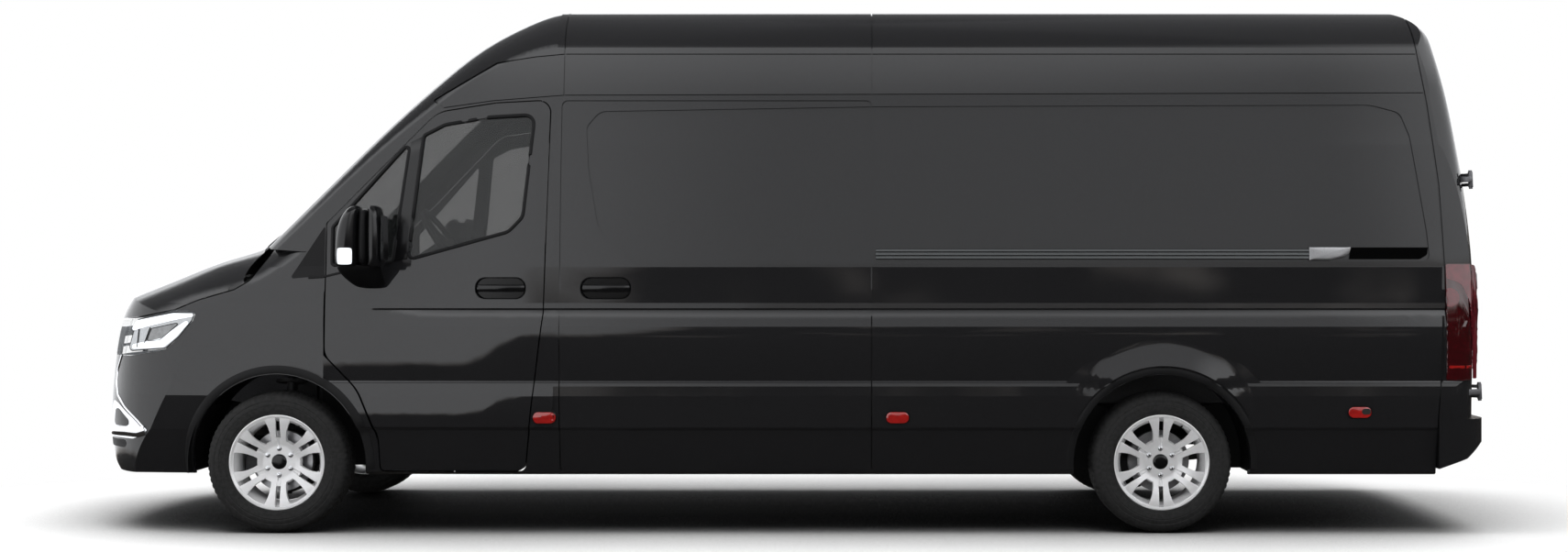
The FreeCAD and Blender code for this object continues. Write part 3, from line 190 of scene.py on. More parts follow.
def gloss_material(name, colour):
    """Smooth moulded plastic with a soft shine."""
    shader = Shader(name)
    noise = shader.mottle(250.0, shade(colour, 0.8), shade(colour, 1.2))
    shader.bump(noise, "Fac", 0.08, 0.0001)
    shader.set(Roughness=0.16, Specular_IOR_Level=0.4)
    return shader.material


def glow_material(name, colour, strength):
    """Lit lens: it shines as well as mirrors."""
    shader = Shader(name)
    noise = shader.mottle(120.0, shade(colour, 0.9), shade(colour, 1.0))
    shader.bump(noise, "Fac", 0.1, 0.0002)
    shader.set(Roughness=0.1, Emission_Color=colour + (1,), Emission_Strength=strength)
    return shader.material


def metal_material(name, colour, roughness, grain, depth=0.0001):
    shader = Shader(name)
    noise = shader.mottle(grain, shade(colour, 0.9), shade(colour, 1.08))
    shader.bump(noise, "Fac", 0.15, depth)
    shader.set(Metallic=1.0, Roughness=roughness)
    return shader.material


def silver_material():
    """Silver lacquer over cast alloy."""
    shader = Shader("wheel_alloy")
    flakes = shader.mottle(1200.0, (0.74, 0.74, 0.75, 1), (0.84, 0.84, 0.85, 1))
    shader.bump(flakes, "Fac", 0.05, 0.0001)
    shader.set(Metallic=0.3, Roughness=0.36, Coat_Weight=0.5, Coat_Roughness=0.1)
    return shader.material


def glass_material(name, tint, see_through):
    """Thin pane: mostly clear, with the reflection that its angle gives."""
    shader = Shader(name)
    smudge = shader.noise(3.0)
    ramp = shader.ramp(smudge, "Fac", [(0.3, grey(0.0)), (0.8, grey(0.03))])
    shader.link(ramp, "Color", shader.surface, "Roughness")
    shader.set(Base_Color=tint, Alpha=1.0 - see_through, IOR=1.5, Specular_IOR_Level=0.5)
    return shader.material


def rubber_material():
    shader = Shader("tyre")
    noise = shader.mottle(60.0, (0.008, 0.008, 0.008, 1), (0.018, 0.018, 0.018, 1))
    shader.bump(noise, "Fac", 0.3, 0.0006)
    shader.set(Roughness=0.72, Specular_IOR_Level=0.35)
    return shader.material


def lens_material(name, colour, roughness=0.05):
    shader = Shader(name)
    noise = shader.mottle(40.0, shade(colour, 0.75), colour)
    shader.bump(noise, "Fac", 0.05, 0.0002)
    shader.set(Roughness=roughness, Coat_Weight=1.0, Coat_Roughness=0.02)
    return shader.material


def fabric_material():
    shader = Shader("seat_fabric")
    place = shader.add("ShaderNodeTexCoord")
    weave = shader.add("ShaderNodeTexWave", wave_type="BANDS", bands_direction="DIAGONAL")
    weave.inputs["Scale"].default_value = 260.0
    weave.inputs["Distortion"].default_value = 1.5
    shader.link(place, "Object", weave, "Vector")
    ramp = shader.ramp(weave, "Fac", [(0.2, grey(0.018)), (0.8, grey(0.045))])
    shader.link(ramp, "Color", shader.surface, "Base Color")
    shader.bump(weave, "Fac", 0.5, 0.0008)
    shader.set(Roughness=0.9, Sheen_Weight=0.3)
    return shader.material


def make_materials():
    return {
        "body_paint": paint_material(),
        "window_glass": glass_material("window_glass", (0.020, 0.022, 0.022, 1), 0.52),
        "black_trim": plastic_material("black_trim", (0.0035, 0.0035, 0.004), 0.5, 700.0, 0.0003, 0.25),
        "gloss_black": gloss_material("gloss_black", (0.0045, 0.0045, 0.005)),
        "chassis_steel": plastic_material("chassis_steel", (0.02, 0.02, 0.021), 0.6, 90.0, 0.0004),
        "tyre": rubber_material(),
        "wheel_alloy": silver_material(),
        "tail_lamp": lens_material("tail_lamp", (0.040, 0.0012, 0.0025, 1)),
        "lamp_glass": glass_material("lamp_glass", (0.8, 0.85, 0.9, 1), 0.88),
        "cast_metal": metal_material("cast_metal", (0.22, 0.22, 0.23), 0.6, 120.0, 0.0008),
        "bare_steel": metal_material("bare_steel", (0.42, 0.42, 0.43), 0.32, 200.0),
        "cabin_plastic": plastic_material("cabin_plastic", (0.03, 0.03, 0.032), 0.6, 500.0, 0.0003),
        "seat_fabric": fabric_material(),
        "marker_red": lens_material("marker_red", (0.36, 0.012, 0.010, 1)),
        "rail": metal_material("rail", (0.115, 0.12, 0.122), 0.35, 300.0),
        "lamp_pink": lens_material("lamp_pink", (0.13, 0.012, 0.018, 1)),
        "arch_trim": plastic_material("arch_trim", (0.0045, 0.0045, 0.005), 0.55, 500.0, 0.0003, 0.25),
        # Near-black sheet with almost no shine: painted shade for the rail's open slot
        "slot_shade_black": plastic_material("slot_shade_black", (0.0015, 0.0015, 0.0016), 0.9, 400.0, 0.0002, 0.02),
        "chrome": metal_material("chrome", (0.75, 0.76, 0.78), 0.12, 300.0),
        "lamp_lens": lens_material("lamp_lens", (0.30, 0.31, 0.32, 1), 0.08),
        "belt_web": plastic_material("belt_web", (0.012, 0.012, 0.013), 0.8, 900.0, 0.0004),
        "lamp_glow": glow_material("lamp_glow", (0.9, 0.93, 0.97), 0.6),
        "lamp_bowl": metal_material("lamp_bowl", (0.42, 0.43, 0.44), 0.28, 150.0, 0.0004),
        "lamp_white": lens_material("lamp_white", (0.85, 0.87, 0.9, 1), 0.2),
    }


materials = make_materials()


def dress_nodes():
    slots = {entry["node"]: entry["material_slot"] for entry in frame["record"]["subparts"]}
    for name, node in nodes.items():
        node.data.materials.clear()
        node.data.materials.append(materials[slots[name]])


def smooth_nodes():
    for node in nodes.values():
        for face in node.data.polygons:
            face.use_smooth = True
        node.data.set_sharp_from_angle(angle=math.radians(30))


# Shapes
def add_piece(name, mesh, material, body):
    """Object of a finished mesh, shaded, dressed and riding on a body."""
    piece = bpy.data.objects.new(name, mesh)
    bpy.context.scene.collection.objects.link(piece)
    for face in mesh.polygons:
        face.use_smooth = True
    mesh.set_sharp_from_angle(angle=math.radians(35))
    mesh.materials.append(materials[material])
    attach(piece, body)
    return piece


def mesh_of(name, places, faces):
    mesh = bpy.data.meshes.new(name)
    mesh.from_pydata([tuple(place) for place in places], [], faces)
    mesh.validate()
    mesh.update()
    return mesh


def closed_up(name, shape):
    """Mesh of a finished bmesh."""
    mesh = bpy.data.meshes.new(name)
    shape.to_mesh(mesh)
    shape.free()
    return mesh


def strip_faces(rows, size, looped=False, joined=True):
    """Faces between rows of places: looped joins last row and first, joined closes each row."""
    faces = []
    for row in range(rows if looped else rows - 1):
        following = (row + 1) % rows
        for step in range(size if joined else size - 1):
            after = (step + 1) % size
            faces.append((row * size + step, row * size + after, following * size + after,
                          following * size + step))
    return faces


def facing_left(mesh):
    """Turns a sheet's faces to the left of the vehicle."""
    if mesh.polygons[0].normal.y > 0:
        mesh.flip_normals()


def outwards(mesh):
    """Makes every face of a closed mesh point out."""
    shape = bmesh.new()
    shape.from_mesh(mesh)
    bmesh.ops.remove_doubles(shape, verts=shape.verts, dist=0.00001)
    bmesh.ops.recalc_face_normals(shape, faces=shape.faces)
    shape.to_mesh(mesh)
    shape.free()
    return mesh


def flipped(mesh, name):
    """The same mesh on the other side of the vehicle."""
    other = mesh.copy()
    other.name = name
    other.transform(Matrix.Scale(-1, 4, (0, 1, 0)))
    other.flip_normals()
    return other


def with_modifier(mesh, kind, **settings):
    """The mesh after one modifier."""
    holder = bpy.data.objects.new("holder", mesh)
    bpy.context.scene.collection.objects.link(holder)
    modifier = holder.modifiers.new(kind.lower(), kind)
    for key, value in settings.items():
        setattr(modifier, key, value)
    graph = bpy.context.evaluated_depsgraph_get()
    result = bpy.data.meshes.new_from_object(holder.evaluated_get(graph))
    bpy.data.objects.remove(holder)
    return result


def bevelled(mesh, width, segments=2, angle=35.0):
    return with_modifier(mesh, "BEVEL", width=width, segments=segments, limit_method="ANGLE",
                         angle_limit=math.radians(angle), harden_normals=False)


def rounded(points, steps=6):
    """Outline through points, each third number being that corner's radius."""
    result = []
    count = len(points)
    for index, point in enumerate(points):
        here = Vector(point[:2])
        radius = point[2] if len(point) > 2 else 0.0
        if radius <= 0:
            result.append(here)
            continue
        before = Vector(points[index - 1][:2])
        after = Vector(points[(index + 1) % count][:2])
        u = (before - here).normalized()
        w = (after - here).normalized()
        half = u.angle(w) / 2
        reach = radius / math.tan(half)
        centre = here + (u + w).normalized() * (radius / math.sin(half))
        start = here + u * reach - centre
        turn = start.angle_signed(here + w * reach - centre)
        for step in range(steps + 1):
            result.append(centre + Matrix.Rotation(-turn * step / steps, 2) @ start)
    return result


def even(points, spacing, closed=True):
    """Points spread along an outline, no further apart than a spacing."""
    result = []
    last = len(points) if closed else len(points) - 1
    for index in range(last):
        a = points[index]
        b = points[(index + 1) % len(points)]
        parts = max(1, math.ceil((b - a).length / spacing))
        for step in range(parts):
            result.append(a.lerp(b, step / parts))
    if not closed:
        result.append(points[-1])
    return result


class Skin:
    """Outer surface of some CAD nodes, met by rays from the left."""

    def __init__(self, *names):
        shape = bmesh.new()
        for name in names:
            shape.from_mesh(nodes[name].data)
        self.tree = BVHTree.FromBMesh(shape)
        shape.free()

    def depth(self, x, z):
        hit = self.tree.ray_cast(Vector((x, -1.6, z)), Vector((0, 1, 0)))[0]
        return None if hit is None else hit.y

    def place(self, x, z):
        y = self.depth(x, z)
        step = 0.004
        while y is None and step < 0.1:
            found = [self.depth(x + dx, z + dz) for dx, dz in
                     ((step, 0), (-step, 0), (0, step), (0, -step))]
            found = [value for value in found if value is not None]
            y = min(found) if found else None
            step += 0.004
        return Vector((x, -0.95 if y is None else y, z))

    def normal(self, x, z, reach=0.05):
        left = self.place(x - reach, z)
        right = self.place(x + reach, z)
        low = self.place(x, z - reach)
        high = self.place(x, z + reach)
        slope_x = (right.y - left.y) / (2 * reach)
        slope_z = (high.y - low.y) / (2 * reach)
        slope_x = max(-0.8, min(0.8, slope_x))
        slope_z = max(-0.8, min(0.8, slope_z))
        return Vector((slope_x, -1.0, slope_z)).normalized()


def swept(name, places, normals, section, closed):
    """Strip along a line of places: section holds (across, outwards) pairs, in order round it."""
    count = len(places)
    rows = []
    for index in range(count):
        before = places[index - 1] if closed or index > 0 else places[index]
        after = places[(index + 1) % count] if closed or index < count - 1 else places[index]
        along = (after - before).normalized()
        out = normals[index]
        across = along.cross(out).normalized()
        rows.append([places[index] + across * a + out * o for a, o in section])
    points = [place for row in rows for place in row]
    size = len(section)
    faces = strip_faces(count, size, closed)
    if not closed:
        faces.append(tuple(range(size)))
        faces.append(tuple((count - 1) * size + step for step in reversed(range(size))))
    return outwards(mesh_of(name, points, faces))


def bead(width, height, depth=0.004, steps=6):
    """Section of a soft strip: a low arch over a flat foot."""
    section = [(-width / 2, -depth)]
    for step in range(steps + 1):
        angle = math.pi * step / steps
        section.append((-math.cos(angle) * width / 2, math.sin(angle) * height))
    section.append((width / 2, -depth))
    return section


def on_skin(skin, outline, closed, spacing=0.025, lift=0.0):
    """Places and normals of an outline laid on the skin."""
    line = even([Vector(point[:2]) for point in outline], spacing, closed)
    places = [skin.place(point.x, point.y) for point in line]
    normals = [skin.normal(point.x, point.y) for point in line]
    return [place + normal * lift for place, normal in zip(places, normals)], normals


def patch(name, skin, outline, thickness, lift=0.001, rings=5, spacing=0.02, dome=0.0):
    """Thin plate with a rounded outline, laid on the skin and domed a little."""
    line = even(outline, spacing)
    middle = sum(line, Vector((0, 0))) / len(line)
    places = []
    for ring in range(rings):
        share = 1 - ring / rings
        for point in line:
            spot = middle.lerp(point, share)
            place = skin.place(spot.x, spot.y)
            rise = lift + dome * (1 - share * share)
            places.append(place + skin.normal(spot.x, spot.y) * rise)
    top = skin.place(middle.x, middle.y) + skin.normal(middle.x, middle.y) * (lift + dome)
    places.append(top)
    size = len(line)
    faces = strip_faces(rings, size)
    for step in range(size):
        faces.append(((rings - 1) * size + step, (rings - 1) * size + (step + 1) % size, rings * size))
    mesh = outwards(mesh_of(name, places, faces))
    facing_left(mesh)
    return with_modifier(mesh, "SOLIDIFY", thickness=thickness, offset=-1.0)


def skin_bead(name, skin, outline, closed, spacing, section, lift=0.0):
    """Strip laid on the skin along an outline."""
    places, normals = on_skin(skin, outline, closed, spacing, lift)
    return swept(name, places, normals, section, closed)


def both_sides(name, mesh, material, body):
    """The piece on the left and its mirror image on the right; a side's own body has {side} in it."""
    pieces = []
    for side in SIDES:
        own = mesh if side == "left" else flipped(mesh, name)
        piece = add_piece("%s_%s" % (name, side), own, material, body.format(side=side))
        pieces.append(piece)
    return pieces


def turned(name, profile, steps=48):
    """Surface turned about the Y axis: profile holds (radius, y) pairs, closed round the section."""
    places = []
    for index in range(steps):
        angle = 2 * math.pi * index / steps
        for radius, y in profile:
            places.append(Vector((radius * math.sin(angle), y, radius * math.cos(angle))))
    return outwards(mesh_of(name, places, strip_faces(steps, len(profile), True)))


# Wheels
FLANGE_RADIUS = 0.2335
LUG_CIRCLE = 0.065
AXLES = {"front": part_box("tyre_front_left"), "rear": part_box("tyre_rear_left")}
SECTORS = 6
SLOT_HALF = 0.011
SLOT_SPAN = (0.119, 0.221)
WINDOW_SPAN = (0.105, 0.2145)
WINDOW_HALVES = [(0.105, 0.017), (0.123, 0.027), (0.16, 0.041), (0.19, 0.0465), (0.2145, 0.0475)]
DISH = [(0.0, 0.058), (0.085, 0.058), (0.105, 0.066), (0.15, 0.083), (0.2, 0.092), (0.2145, 0.0925),
        (0.222, 0.093), (0.226, 0.097), (FLANGE_RADIUS, 0.1005)]
CHANNEL_SPAN = (0.078, 0.122)
CHANNEL_DEPTH = 0.005


def table_value(table, x):
    if x <= table[0][0]:
        return table[0][1]
    for (x0, v0), (x1, v1) in zip(table, table[1:]):
        if x <= x1:
            return v0 + (v1 - v0) * (x - x0) / (x1 - x0)
    return table[-1][1]


def wheel_face():
    """Dished disc of six spoke pairs: slots split each pair and windows part the pairs."""
    radii = [0.030, 0.040, 0.05, 0.062, 0.075, 0.08, 0.092, WINDOW_SPAN[0], SLOT_SPAN[0], 0.127, 0.14, 0.155,
             0.17, 0.185, 0.2, WINDOW_SPAN[1], SLOT_SPAN[1], 0.227]
    half_sector = math.pi / SECTORS
    slot_columns = 2
    spoke_columns = 4
    window_columns = 4
    columns = slot_columns + spoke_columns + window_columns
    places = []
    for radius in radii:
        near = max(radius, SLOT_SPAN[0])
        slot_angle = math.asin(SLOT_HALF / near)
        wide = max(radius, WINDOW_SPAN[0])
        window_angle = half_sector - math.asin(table_value(WINDOW_HALVES, wide) / wide)
        marks = [slot_angle * step / slot_columns for step in range(slot_columns)]
        marks += [slot_angle + (window_angle - slot_angle) * step / spoke_columns
                  for step in range(spoke_columns)]
        marks += [window_angle + (half_sector - window_angle) * step / window_columns
                  for step in range(window_columns)]
        for sector in range(SECTORS):
            base = 2 * half_sector * sector
            angles = [base + mark for mark in marks]
            angles += [base + 2 * half_sector - mark for mark in reversed(marks[1:])]
            angles.insert(columns, base + half_sector)
            for index, angle in enumerate(angles):
                in_channel = min(index, 2 * columns - index) < slot_columns
                sunk = in_channel and CHANNEL_SPAN[0] < radius < CHANNEL_SPAN[1]
                out = table_value(DISH, radius) - (CHANNEL_DEPTH if sunk else 0.0)
                places.append(Vector((radius * math.sin(angle), -out, radius * math.cos(angle))))
    ring = SECTORS * columns * 2
    faces = []
    for row in range(len(radii) - 1):
        middle = (radii[row] + radii[row + 1]) / 2
        for column in range(ring):
            spot = column % (2 * columns)
            spot = min(spot, 2 * columns - 1 - spot)
            in_slot = spot < slot_columns and SLOT_SPAN[0] < middle < SLOT_SPAN[1]
            in_window = spot >= slot_columns + spoke_columns and WINDOW_SPAN[0] < middle < WINDOW_SPAN[1]
            if in_slot or in_window:
                continue
            after = (column + 1) % ring
            faces.append((row * ring + column, row * ring + after, (row + 1) * ring + after,
                          (row + 1) * ring + column))
    mesh = mesh_of("wheel_face", places, faces)
    shape = bmesh.new()
    shape.from_mesh(mesh)
    loose = [vert for vert in shape.verts if not vert.link_faces]
    bmesh.ops.delete(shape, geom=loose, context="VERTS")
    shape.to_mesh(mesh)
    shape.free()
    facing_left(mesh)
    solid = with_modifier(mesh, "SOLIDIFY", thickness=0.02, offset=-1.0, use_even_offset=True)
    return bevelled(solid, 0.0042, 3, 50.0)


def wheel_barrel():
    half = 0.1125
    profile = [(FLANGE_RADIUS, -half + 0.0125), (FLANGE_RADIUS, -half + 0.0165), (0.229, -half + 0.019),
               (0.2155, -half + 0.024), (0.2075, -half + 0.05), (0.2075, half - 0.05),
               (0.2155, half - 0.024), (0.229, half - 0.015), (FLANGE_RADIUS, half - 0.012),
               (FLANGE_RADIUS, half - 0.006), (0.229, half - 0.006), (0.2215, half - 0.01),
               (0.1985, half - 0.06), (0.1985, -half + 0.056), (0.214, -half + 0.03),
               (0.2215, -half + 0.0165),
               (0.229, -half + 0.0115)]
    return turned("wheel_barrel", profile, 96)


def wheel_hub():
    """Hub flange behind the face, with the bolts' recesses closed at the back."""
    profile = [(0.001, -0.0305), (0.09, -0.0305), (0.1, -0.034), (0.1, 0.0), (0.06, 0.02), (0.001, 0.02)]
    return turned("wheel_hub", profile, 48)


def centre_cap():
    profile = [(0.0005, -0.0655), (0.012, -0.0655), (0.026, -0.0645), (0.0345, -0.062), (0.0375, -0.0585),
               (0.038, -0.05), (0.0005, -0.05)]
    return turned("centre_cap", profile, 40)


def lug_nuts():
    """Six domed hexagonal nuts with their washers, on the lug circle."""
    shape = bmesh.new()
    for index in range(SECTORS):
        angle = 2 * math.pi * index / SECTORS
        place = Matrix.Translation((LUG_CIRCLE * math.sin(angle), -0.0575, LUG_CIRCLE * math.cos(angle)))
        turn = Matrix.Rotation(math.radians(90), 4, "X")
        bmesh.ops.create_cone(shape, cap_ends=True, segments=24, radius1=0.0135, radius2=0.012, depth=0.005,
                              matrix=place @ turn)
        nut = Matrix.Translation((0, -0.0055, 0)) @ place @ turn
        bmesh.ops.create_cone(shape, cap_ends=True, segments=6, radius1=0.0105, radius2=0.0105, depth=0.009,
                              matrix=nut)
        top = Matrix.Translation((0, -0.0115, 0)) @ place @ turn
        bmesh.ops.create_cone(shape, cap_ends=True, segments=16, radius1=0.0085, radius2=0.005, depth=0.003,
                              matrix=top)
    return bevelled(outwards(closed_up("lug_nuts", shape)), 0.0006, 2)


def brake_disc():
    profile = [(0.052, -0.0045), (0.088, -0.0045), (0.091, -0.001), (0.149, -0.001), (0.1502, 0.001),
               (0.1502, 0.03), (0.149, 0.032), (0.052, 0.032)]
    return turned("brake_disc", profile, 72)


def tyre_shape():
    """Tyre with ribbed walls, a rim protector and a grooved tread of offset blocks."""
    half = 0.1125
    wall = [(0.2165, -half + 0.0235), (0.2365, -half + 0.0105), (0.2425, -half + 0.0072),
            (0.248, -half + 0.0072), (0.2505, -half + 0.0042), (0.262, -half + 0.0022),
            (0.2755, -half + 0.0006), (0.2775, -half + 0.0018), (0.2805, -half + 0.0018),
            (0.2825, -half + 0.0004), (0.299, -half + 0.0018), (0.3005, -half + 0.003),
            (0.303, -half + 0.003),
            (0.305, -half + 0.0022), (0.318, -half + 0.0062), (0.3275, -half + 0.0122)]
    shoulder = [(0.3345, -half + 0.0185), (0.3405, -half + 0.028), (0.3432, -half + 0.038)]
    tread = []
    grooves = (-0.052, -0.018, 0.018, 0.052)
    crown = 0.3449
    for groove in grooves:
        tread += [(crown, groove - 0.0052), (crown - 0.007, groove - 0.0036),
                  (crown - 0.007, groove + 0.0036), (crown, groove + 0.0052)]
    outer = wall + shoulder + tread + [(radius, -y) for radius, y in reversed(wall + shoulder)]
    inner = [(0.2165, half - 0.03), (0.31, half - 0.03), (0.31, -half + 0.03), (0.2165, -half + 0.03)]
    profile = outer + inner
    steps = 210
    first_tread = len(wall)
    last_tread = len(wall) + 2 * len(shoulder) + len(tread)
    places = []
    for index in range(steps):
        angle = 2 * math.pi * index / steps
        for step, (radius, y) in enumerate(profile):
            shift = 0 if y < -0.03 else 1 if y < 0.03 else 2
            in_sipe = (index + shift) % 3 == 0 and first_tread <= step < last_tread
            depth = 0.004 if in_sipe and radius > 0.334 else 0.0
            r = radius - depth
            places.append(Vector((r * math.sin(angle), y, r * math.cos(angle))))
    return outwards(mesh_of("tyre_shape", places, strip_faces(steps, len(profile), True)))


def valve():
    """Valve stem that leans out of the rim between two pairs of spokes."""
    shape = bmesh.new()
    place = Matrix.Translation((0.5 * 0.202, -0.083, 0.866 * 0.202))
    bmesh.ops.create_cone(shape, cap_ends=True, segments=14, radius1=0.005, radius2=0.0034, depth=0.03,
                          matrix=place @ Matrix.Rotation(math.radians(80), 4, "X"))
    return bevelled(outwards(closed_up("valve", shape)), 0.0008, 2)


def make_wheels():
    parts = [
        ("tyre_detail", tyre_shape(), "tyre", "tyre", "tyre"),
        ("wheel_face", wheel_face(), "wheel_alloy", "wheel_alloy", "rim"),
        ("wheel_barrel", wheel_barrel(), "wheel_alloy", "wheel_alloy", None),
        ("wheel_hub", wheel_hub(), "cast_metal", "cast_metal", None),
        ("centre_cap", centre_cap(), "gloss_black", "black_trim", None),
        ("lug_nuts", lug_nuts(), "chrome", "bare_steel", None),
        ("brake_disc", brake_disc(), "bare_steel", "bare_steel", None),
        ("valve", valve(), "black_trim", "black_trim", None),
    ]
    for axle, (low, high) in AXLES.items():
        centre = (low + high) / 2
        for side, sign in SIDES.items():
            place = "%s_%s" % (axle, side)
            for name, mesh, material, slot, replaced in parts:
                own = mesh.copy() if sign == LEFT else flipped(mesh, name)
                own.transform(Matrix.Translation((centre.x, -sign * centre.y, centre.z)))
                piece = add_piece("%s_%s" % (name, place), own, material, "wheel_" + place)
                if replaced:
                    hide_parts("%s_%s" % (replaced, place))


# Panels as they lie on the left and on the ends of the vehicle
side_skin = Skin("side_left", "front_door_left", "door_glass_left", "sliding_door_left", "wing_left",
                 "front_bumper", "rear_frame", "rear_bumper", "sail_trims", "tail_lamps", "headlamps",
                 "roof_front", "roof_middle", "roof_rear")
door_skin = Skin("front_door_left")
lamp_skin = Skin("headlamps", "front_bumper", "wing_left")


# Doors: window seals, centre bar and handles
MAIN_WINDOW = [(-1.812, 1.335, 0.025), (-1.320, 1.472, 0.070), (-1.250, 1.545, 0.060), (-1.198, 2.050, 0.045),
               (-1.420, 2.037, 0.200), (-1.640, 2.000, 0.090), (-1.745, 1.945, 0.030)]
QUARTER_WINDOW = [(-2.185, 1.309, 0.015), (-1.885, 1.324, 0.020), (-1.808, 1.920, 0.015),
                  (-2.185, 1.495, 0.025)]
CENTRE_BAR = [(-1.884, 1.327, 0.004), (-1.814, 1.338, 0.004), (-1.748, 1.942, 0.004), (-1.806, 1.913, 0.004)]
SAIL_FOOT = [(-2.300, 1.2475), (-2.226, 1.2520), (-2.10, 1.283)]
HANDLES = {"front_door_{side}": (-1.355, 1.197), "body": (-0.842, 1.197)}
HANDLE_FLOOR_Y = -0.963


def make_window_trims():
    for name, window in (("main_seal", MAIN_WINDOW), ("quarter_seal", QUARTER_WINDOW)):
        mesh = skin_bead(name, side_skin, rounded(window), True, 0.03, bead(0.017, 0.0038, 0.010), 0.0012)
        both_sides(name, mesh, "black_trim", "front_door_{side}")
    bar = patch("window_bar", door_skin, rounded(CENTRE_BAR), 0.003, 0.0025, 3, 0.03)
    both_sides("window_bar", bevelled(bar, 0.001), "gloss_black", "front_door_{side}")
    mesh = skin_bead("sail_seal", side_skin, SAIL_FOOT, False, 0.04, bead(0.012, 0.003))
    both_sides("sail_seal", mesh, "black_trim", "body")


def handle_cup(x, z):
    """Lining of a door's oval cup, with a rolled edge."""
    half_length = 0.1235
    half_height = 0.0525
    outline = oval(x, z, half_length, half_height, 0.05)
    places = []
    for share, y in ((1.0, -1.0), (1.0, HANDLE_FLOOR_Y - 0.008), (0.93, HANDLE_FLOOR_Y - 0.0008)):
        for point in outline:
            spot = Vector((x, z)).lerp(point, share)
            edge = side_skin.depth(spot.x + 0.02 * (spot.x - x), spot.y + 0.2 * (spot.y - z)) or -1.0
            places.append(Vector((spot.x, edge + 0.001 if y == -1.0 else y, spot.y)))
    places.append(Vector((x, HANDLE_FLOOR_Y - 0.0008, z)))
    size = len(outline)
    faces = strip_faces(3, size)
    faces += [(2 * size + step, 2 * size + (step + 1) % size, 3 * size) for step in range(size)]
    mesh = mesh_of("handle_cup", places, faces)
    if mesh.polygons[-1].normal.y > 0:
        mesh.flip_normals()
    return with_modifier(mesh, "SOLIDIFY", thickness=0.0006, offset=-1.0)


def handle_grip(x, z):
    """Bowed bar with a rounded section, thicker in its middle."""
    steps = 16
    places = []
    normals = []
    for index in range(steps + 1):
        share = index / steps
        rise = math.sin(math.pi * share) ** 0.7
        places.append(Vector((x - 0.118 + 0.236 * share, HANDLE_FLOOR_Y - 0.006 - 0.021 * rise, z)))
        normals.append(Vector((0, -1, 0)))
    section = [(0.0185 * math.cos(a), 0.0062 * math.sin(a)) for a in
               [2 * math.pi * step / 12 for step in range(12)]]
    return swept("handle_grip", places, normals, section, False)


def make_handles():
    for body, (x, z) in HANDLES.items():
        name = "front" if "front" in body else "sliding"
        both_sides("handle_cup_" + name, handle_cup(x, z), "gloss_black", body)
        grip = bevelled(handle_grip(x, z), 0.002)
        both_sides("handle_grip_" + name, grip, "gloss_black", body)


# Door mirrors
MIRROR_FORMS = [
    ("front", "gloss_black", "black_trim", 3, [
        (1.300, -2.108, -1.992, -1.235, -1.075), (1.310, -2.116, -1.985, -1.252, -1.062),
        (1.38, -2.116, -1.984, -1.258, -1.060), (1.47, -2.110, -1.984, -1.256, -1.060),
        (1.55, -2.082, -1.984, -1.246, -1.066), (1.598, -2.035, -1.986, -1.232, -1.078)]),
    ("rear", "gloss_black", "black_trim", 3, [
        (1.296, -1.950, -1.888, -1.232, -1.075), (1.304, -1.956, -1.876, -1.250, -1.062),
        (1.40, -1.958, -1.872, -1.256, -1.060), (1.50, -1.958, -1.874, -1.252, -1.062),
        (1.575, -1.955, -1.888, -1.238, -1.070), (1.597, -1.950, -1.908, -1.225, -1.080)]),
    ("neck", "black_trim", "black_trim", 2, [
        (1.31, -1.998, -1.94, -1.225, -1.085), (1.34, -2.002, -1.938, -1.24, -1.075),
        (1.55, -1.998, -1.94, -1.236, -1.080), (1.575, -1.993, -1.945, -1.22, -1.090)]),
    ("lamp", "lamp_glow", "lamp_glass", 2, [
        (1.311, -2.080, -2.010, -1.2605, -1.236), (1.317, -2.084, -2.006, -1.2615, -1.234),
        (1.385, -2.084, -2.006, -1.2615, -1.234), (1.391, -2.080, -2.010, -1.2605, -1.236)]),
    ("arm", "black_trim", "black_trim", 2, [
        (1.196, -2.035, -1.925, -1.012, -0.960), (1.208, -2.065, -1.908, -1.045, -0.955),
        (1.245, -2.105, -1.900, -1.110, -0.975), (1.280, -2.118, -1.895, -1.185, -1.040),
        (1.302, -2.118, -1.892, -1.205, -1.085), (1.312, -2.112, -1.90, -1.20, -1.09)]),
    ("glass", "chrome", "bare_steel", 2, [
        (1.330, -1.8795, -1.8755, -1.238, -1.078), (1.336, -1.8795, -1.8745, -1.244, -1.072),
        (1.540, -1.8795, -1.8745, -1.240, -1.076), (1.546, -1.8800, -1.8755, -1.234, -1.082)]),
]


def soft_box(name, rows, levels=2):
    """Rounded closed form through rectangles: each row is (z, x0, x1, y0, y1)."""
    places = []
    for z, x0, x1, y0, y1 in rows:
        places += [(x0, y0, z), (x1, y0, z), (x1, y1, z), (x0, y1, z)]
    faces = [(0, 1, 2, 3)] + strip_faces(len(rows), 4)
    top = (len(rows) - 1) * 4
    faces.append((top + 3, top + 2, top + 1, top))
    mesh = outwards(mesh_of(name, places, faces))
    return with_modifier(mesh, "SUBSURF", levels=levels, render_levels=levels)


def make_mirrors():
    for part, material, slot, levels, rows in MIRROR_FORMS:
        name = "mirror_" + part
        pieces = both_sides(name, soft_box(name, rows, levels), material, "front_door_{side}")
        if part == "front":
            for piece, side in zip(pieces, SIDES):
                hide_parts("mirror_" + side)


